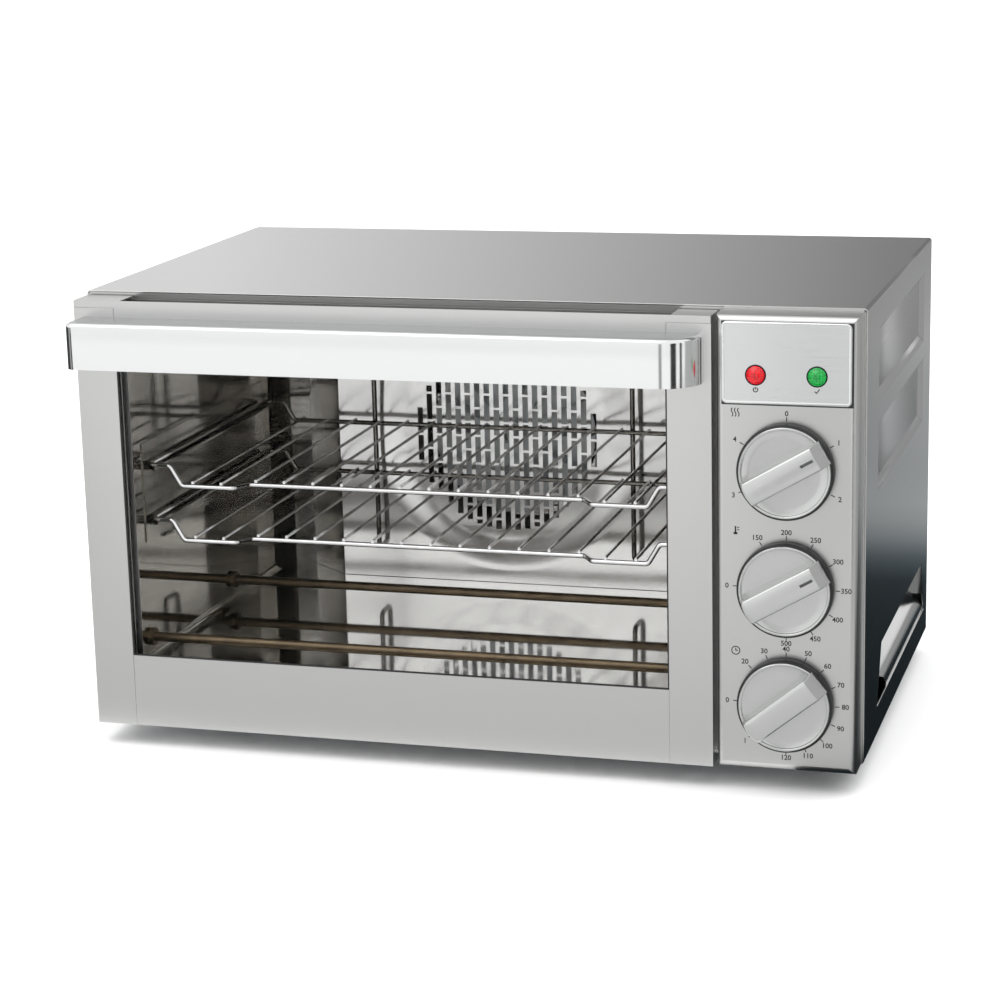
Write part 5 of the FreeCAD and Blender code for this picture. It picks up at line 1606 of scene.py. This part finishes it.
# Studio
@dataclass(frozen=True)
class Card:
    """A flag or a bounce card: bare metal mirrors it, and the camera doesn't see it.

    Attributes:
        name: The card's name.
        corner: One corner.
        across: The side along which its tone changes little.
        along: The side along which its tone changes.
        tones: How bright it is at each distance along that side, from nought to the full length.
        drift: The share of those tones at the near and the far edge of the other side.
        shade: The colour of its darkest parts.
    """

    name: str
    corner: tuple[float, float, float]
    across: tuple[float, float, float]
    along: tuple[float, float, float]
    tones: tuple[tuple[float, float], ...]
    drift: tuple[float, float] = (1.0, 1.0)
    shade: str = "#FFFFFF"

    def build(self) -> None:
        """Stands the card in the studio."""
        across = Vector(self.across)
        along = Vector(self.along)
        mesh = bpy.data.meshes.new(self.name)
        wide, long = across.length, along.length
        mesh.from_pydata([(0, 0, 0), (wide, 0, 0), (wide, long, 0), (0, long, 0)], [], [(0, 1, 2, 3)])
        mesh.materials.append(self.surface())
        card = bpy.data.objects.new(self.name, mesh)
        bpy.context.scene.collection.objects.link(card)
        normal = across.cross(along).normalized()
        axes = Matrix((across.normalized(), along.normalized(), normal)).transposed().to_4x4()
        card.matrix_world = Matrix.Translation(self.corner) @ axes
        card.visible_camera = False
        card.visible_diffuse = False
        card.visible_transmission = False
        card.visible_shadow = False

    def surface(self) -> bpy.types.Material:
        """Makes its evenly lit paper, whose tone changes along its sides.

        Returns:
            The material.
        """
        material = bpy.data.materials.new(f"{self.name}_paper_lit")
        material.use_nodes = True
        tree = material.node_tree
        tree.nodes.clear()
        place = add(tree, "ShaderNodeTexCoord").outputs["Object"]
        point = add(tree, "ShaderNodeSeparateXYZ", {0: place}).outputs
        share = maths(tree, "DIVIDE", point["Y"], Vector(self.along).length)
        peak = max(tone for distance, tone in self.tones)
        ramp = add(tree, "ShaderNodeValToRGB", {0: share})
        marks = ramp.color_ramp.elements
        for distance, tone in self.tones[1:-1]:
            marks.new(distance / Vector(self.along).length)
        for mark, (distance, tone) in zip(marks, self.tones):
            mark.color = (tone / peak, tone / peak, tone / peak, 1.0)
        drift = add(
            tree, "ShaderNodeMapRange",
            {
                "Value": point["X"], "From Min": 0.0, "From Max": Vector(self.across).length,
                "To Min": self.drift[0] * peak, "To Max": self.drift[1] * peak,
            },
        )
        colour = add(
            tree, "ShaderNodeMix",
            {0: ramp.outputs["Color"], 6: linear(self.shade), 7: linear("#FFFFFF")}, data_type="RGBA",
        )
        strength = maths(tree, "MULTIPLY", ramp.outputs["Color"], drift.outputs["Result"])
        light = add(tree, "ShaderNodeEmission", {"Color": colour.outputs[2], "Strength": strength})
        add(tree, "ShaderNodeOutputMaterial", {"Surface": light.outputs["Emission"]})
        return material


@dataclass
class Studio:
    """A white floor, soft light, the cards that the metal mirrors, and the camera.

    Attributes:
        eye: Where the camera stands.
        azimuth: Which way it looks, in degrees to the right of straight back.
        elevation: How far above the horizon it stands, in degrees.
        roll: Its tilt about the line of sight, in degrees.
        lens_mm: Its focal length on a sensor 36 mm wide.
        floor_size: The length of the floor's side.
        sky: How bright the studio is all round.
        cards: The flags and bounce cards.
    """

    eye: tuple[float, float, float] = (0.4563, -1.6027, 0.5356)
    azimuth: float = -16.504
    elevation: float = 13.628
    roll: float = -1.386
    lens_mm: float = 95.05
    floor_size: float = 60.0
    sky: float = 1.12
    cards: tuple[Card, ...] = (
        # White paper on the floor in front, darker close to the oven
        Card(
            "front_paper", (-4.0, -0.19, 0.001), (8.0, 0.0, 0.0), (0.0, -5.0, 0.0),
            ((0.0, 0.70), (1.0, 1.14), (5.0, 1.2)),
        ),
        # Black cloth on the floor to the right, whose grey far part starts beside the oven's back
        Card(
            "right_cloth", (0.20, -0.19, 0.0015), (0.30, 0.0, 0.0), (0.0, 3.6, 0.0),
            (
                (0.0, 0.02), (0.22, 0.023), (0.40, 0.036), (0.51, 0.05), (0.575, 0.12), (0.63, 0.22),
                (0.69, 0.29), (0.75, 0.32), (0.90, 0.32), (1.31, 0.375), (1.53, 0.42), (2.15, 0.405),
                (3.6, 0.41),
            ),
            (1.68, 0.70), "#9AB4C0",
        ),
        # The rest of that cloth, further out
        Card(
            "outer_cloth", (0.5005, -0.19, 0.0015), (2.5, 0.0, 0.0), (0.0, 3.6, 0.0),
            ((0.0, 0.02), (0.51, 0.035), (0.75, 0.23), (1.82, 0.34), (3.6, 0.35)),
        ),
        # A grey board that stands at the cloth's far edge
        Card("back_low", (-3.0, 3.39, 0.0), (0.0, 0.0, 0.45), (6.0, 0.0, 0.0), ((0.0, 0.36), (6.0, 0.36))),
        # A backdrop over the oven's back that goes from white to grey towards the right
        Card(
            "back_drop", (-3.0, 0.45, 0.287), (0.0, 0.0, 1.5), (6.0, 0.0, 0.0),
            ((0.0, 0.90), (2.59, 0.87), (3.18, 0.27), (6.0, 0.25)),
        ),
        # A grey flag and two black ones at the front right, which draw the lines down the handle's bend
        Card(
            "straight_flag", (0.105, -0.675, 0.0), (0.0, 0.0, 0.3), (0.07, 0.0, 0.0),
            ((0.0, 0.36), (0.07, 0.36)),
        ),
        Card(
            "wide_flag", (0.365, -0.565, 0.0), (0.0, 0.0, 0.35), (0.104, 0.0825, 0.0),
            ((0.0, 0.03), (0.1327, 0.03)),
        ),
        Card(
            "narrow_flag", (0.5215, -0.4135, 0.0), (0.0, 0.0, 0.35), (0.0265, 0.0485, 0.0),
            ((0.0, 0.03), (0.0553, 0.03)),
        ),
        # A grey card at the right, for the rest of the bend
        Card(
            "grey_card", (0.62, -0.30, 0.0), (0.0, 0.0, 0.5), (0.0, 1.5, 0.0),
            ((0.0, 0.50), (1.5, 0.42)),
        ),
        # A black flag with a grey stripe at the left, which draws the handle's left edge
        Card(
            "left_flag", (-0.45, -0.47, 0.0), (0.0, 0.0, 0.27), (0.0, 1.07, 0.0),
            ((0.0, 0.05), (0.11, 0.06), (0.14, 0.42), (0.20, 0.42), (0.22, 0.05), (1.07, 0.05)),
        ),
    )

    def build(self) -> None:
        """Sets up the camera, floor, world, cards and lights."""
        self.camera()
        self.floor()
        self.world()
        for card in self.cards:
            card.build()
        self.light("key", (-1.1, -1.4, 2.6), 2.6, 26.0)
        self.light("floor_fill", (0.8, -0.2, 3.0), 5.0, 110.0).visible_glossy = False
        scene = bpy.context.scene
        scene.view_settings.view_transform = "Standard"
        scene.cycles.glossy_bounces = 8
        scene.cycles.transparent_max_bounces = 24

    def camera(self) -> None:
        """Places the camera at the photograph's angle."""
        azimuth = math.radians(self.azimuth)
        elevation = math.radians(self.elevation)
        level = math.cos(elevation)
        ahead = Vector((math.sin(azimuth) * level, math.cos(azimuth) * level, -math.sin(elevation)))
        right = ahead.cross(Vector((0, 0, 1))).normalized()
        up = right.cross(ahead)
        turn = math.radians(self.roll)
        across = right * math.cos(turn) + up * math.sin(turn)
        upright = up * math.cos(turn) - right * math.sin(turn)
        data = bpy.data.cameras.new("camera")
        data.lens = self.lens_mm
        data.sensor_width = 36.0
        data.clip_start = 0.05
        camera = bpy.data.objects.new("camera", data)
        bpy.context.scene.collection.objects.link(camera)
        axes = Matrix((across, upright, -ahead)).transposed().to_4x4()
        camera.matrix_world = Matrix.Translation(self.eye) @ axes
        bpy.context.scene.camera = camera

    def floor(self) -> None:
        """Lays the pale floor."""
        shape = bmesh.new()
        bmesh.ops.create_grid(shape, x_segments=1, y_segments=1, size=self.floor_size / 2)
        mesh = bpy.data.meshes.new("floor")
        shape.to_mesh(mesh)
        shape.free()
        floor = bpy.data.objects.new("floor", mesh)
        bpy.context.scene.collection.objects.link(floor)
        mesh.materials.append(Finish("paper_white_matte", "#F4F4F4", 0.0, 0.9).make())

    def world(self) -> None:
        """Fills the studio with soft white light."""
        world = bpy.data.worlds.new("studio")
        bpy.context.scene.world = world
        world.use_nodes = True
        tree = world.node_tree
        tree.nodes.clear()
        sky = add(tree, "ShaderNodeBackground", {"Color": linear("#FFFFFF"), "Strength": self.sky})
        add(tree, "ShaderNodeOutputWorld", {"Surface": sky.outputs["Background"]})

    def light(
        self, name: str, place: tuple[float, float, float], size: float, power: float
    ) -> bpy.types.Object:
        """Hangs a square soft light that faces the oven.

        Args:
            name: The light's name.
            place: Where it hangs.
            size: The length of its side.
            power: Its power in watts.

        Returns:
            The light.
        """
        data = bpy.data.lights.new(name, "AREA")
        data.size = size
        data.energy = power
        lamp = bpy.data.objects.new(name, data)
        bpy.context.scene.collection.objects.link(lamp)
        lamp.location = place
        lamp.rotation_euler = (Vector((0, 0, 0.15)) - Vector(place)).to_track_quat("-Z", "Y").to_euler()
        return lamp


def main() -> None:
    """Builds each sub-assembly in order."""
    logging.basicConfig(level=logging.INFO, format="%(message)s")
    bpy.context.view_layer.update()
    for assembly in (Cabinet(), Cavity(), Door(), Controls(), Studio()):
        assembly.build()
        log.info("built %s", type(assembly).__name__)


if __name__ == "__main__":
    main()
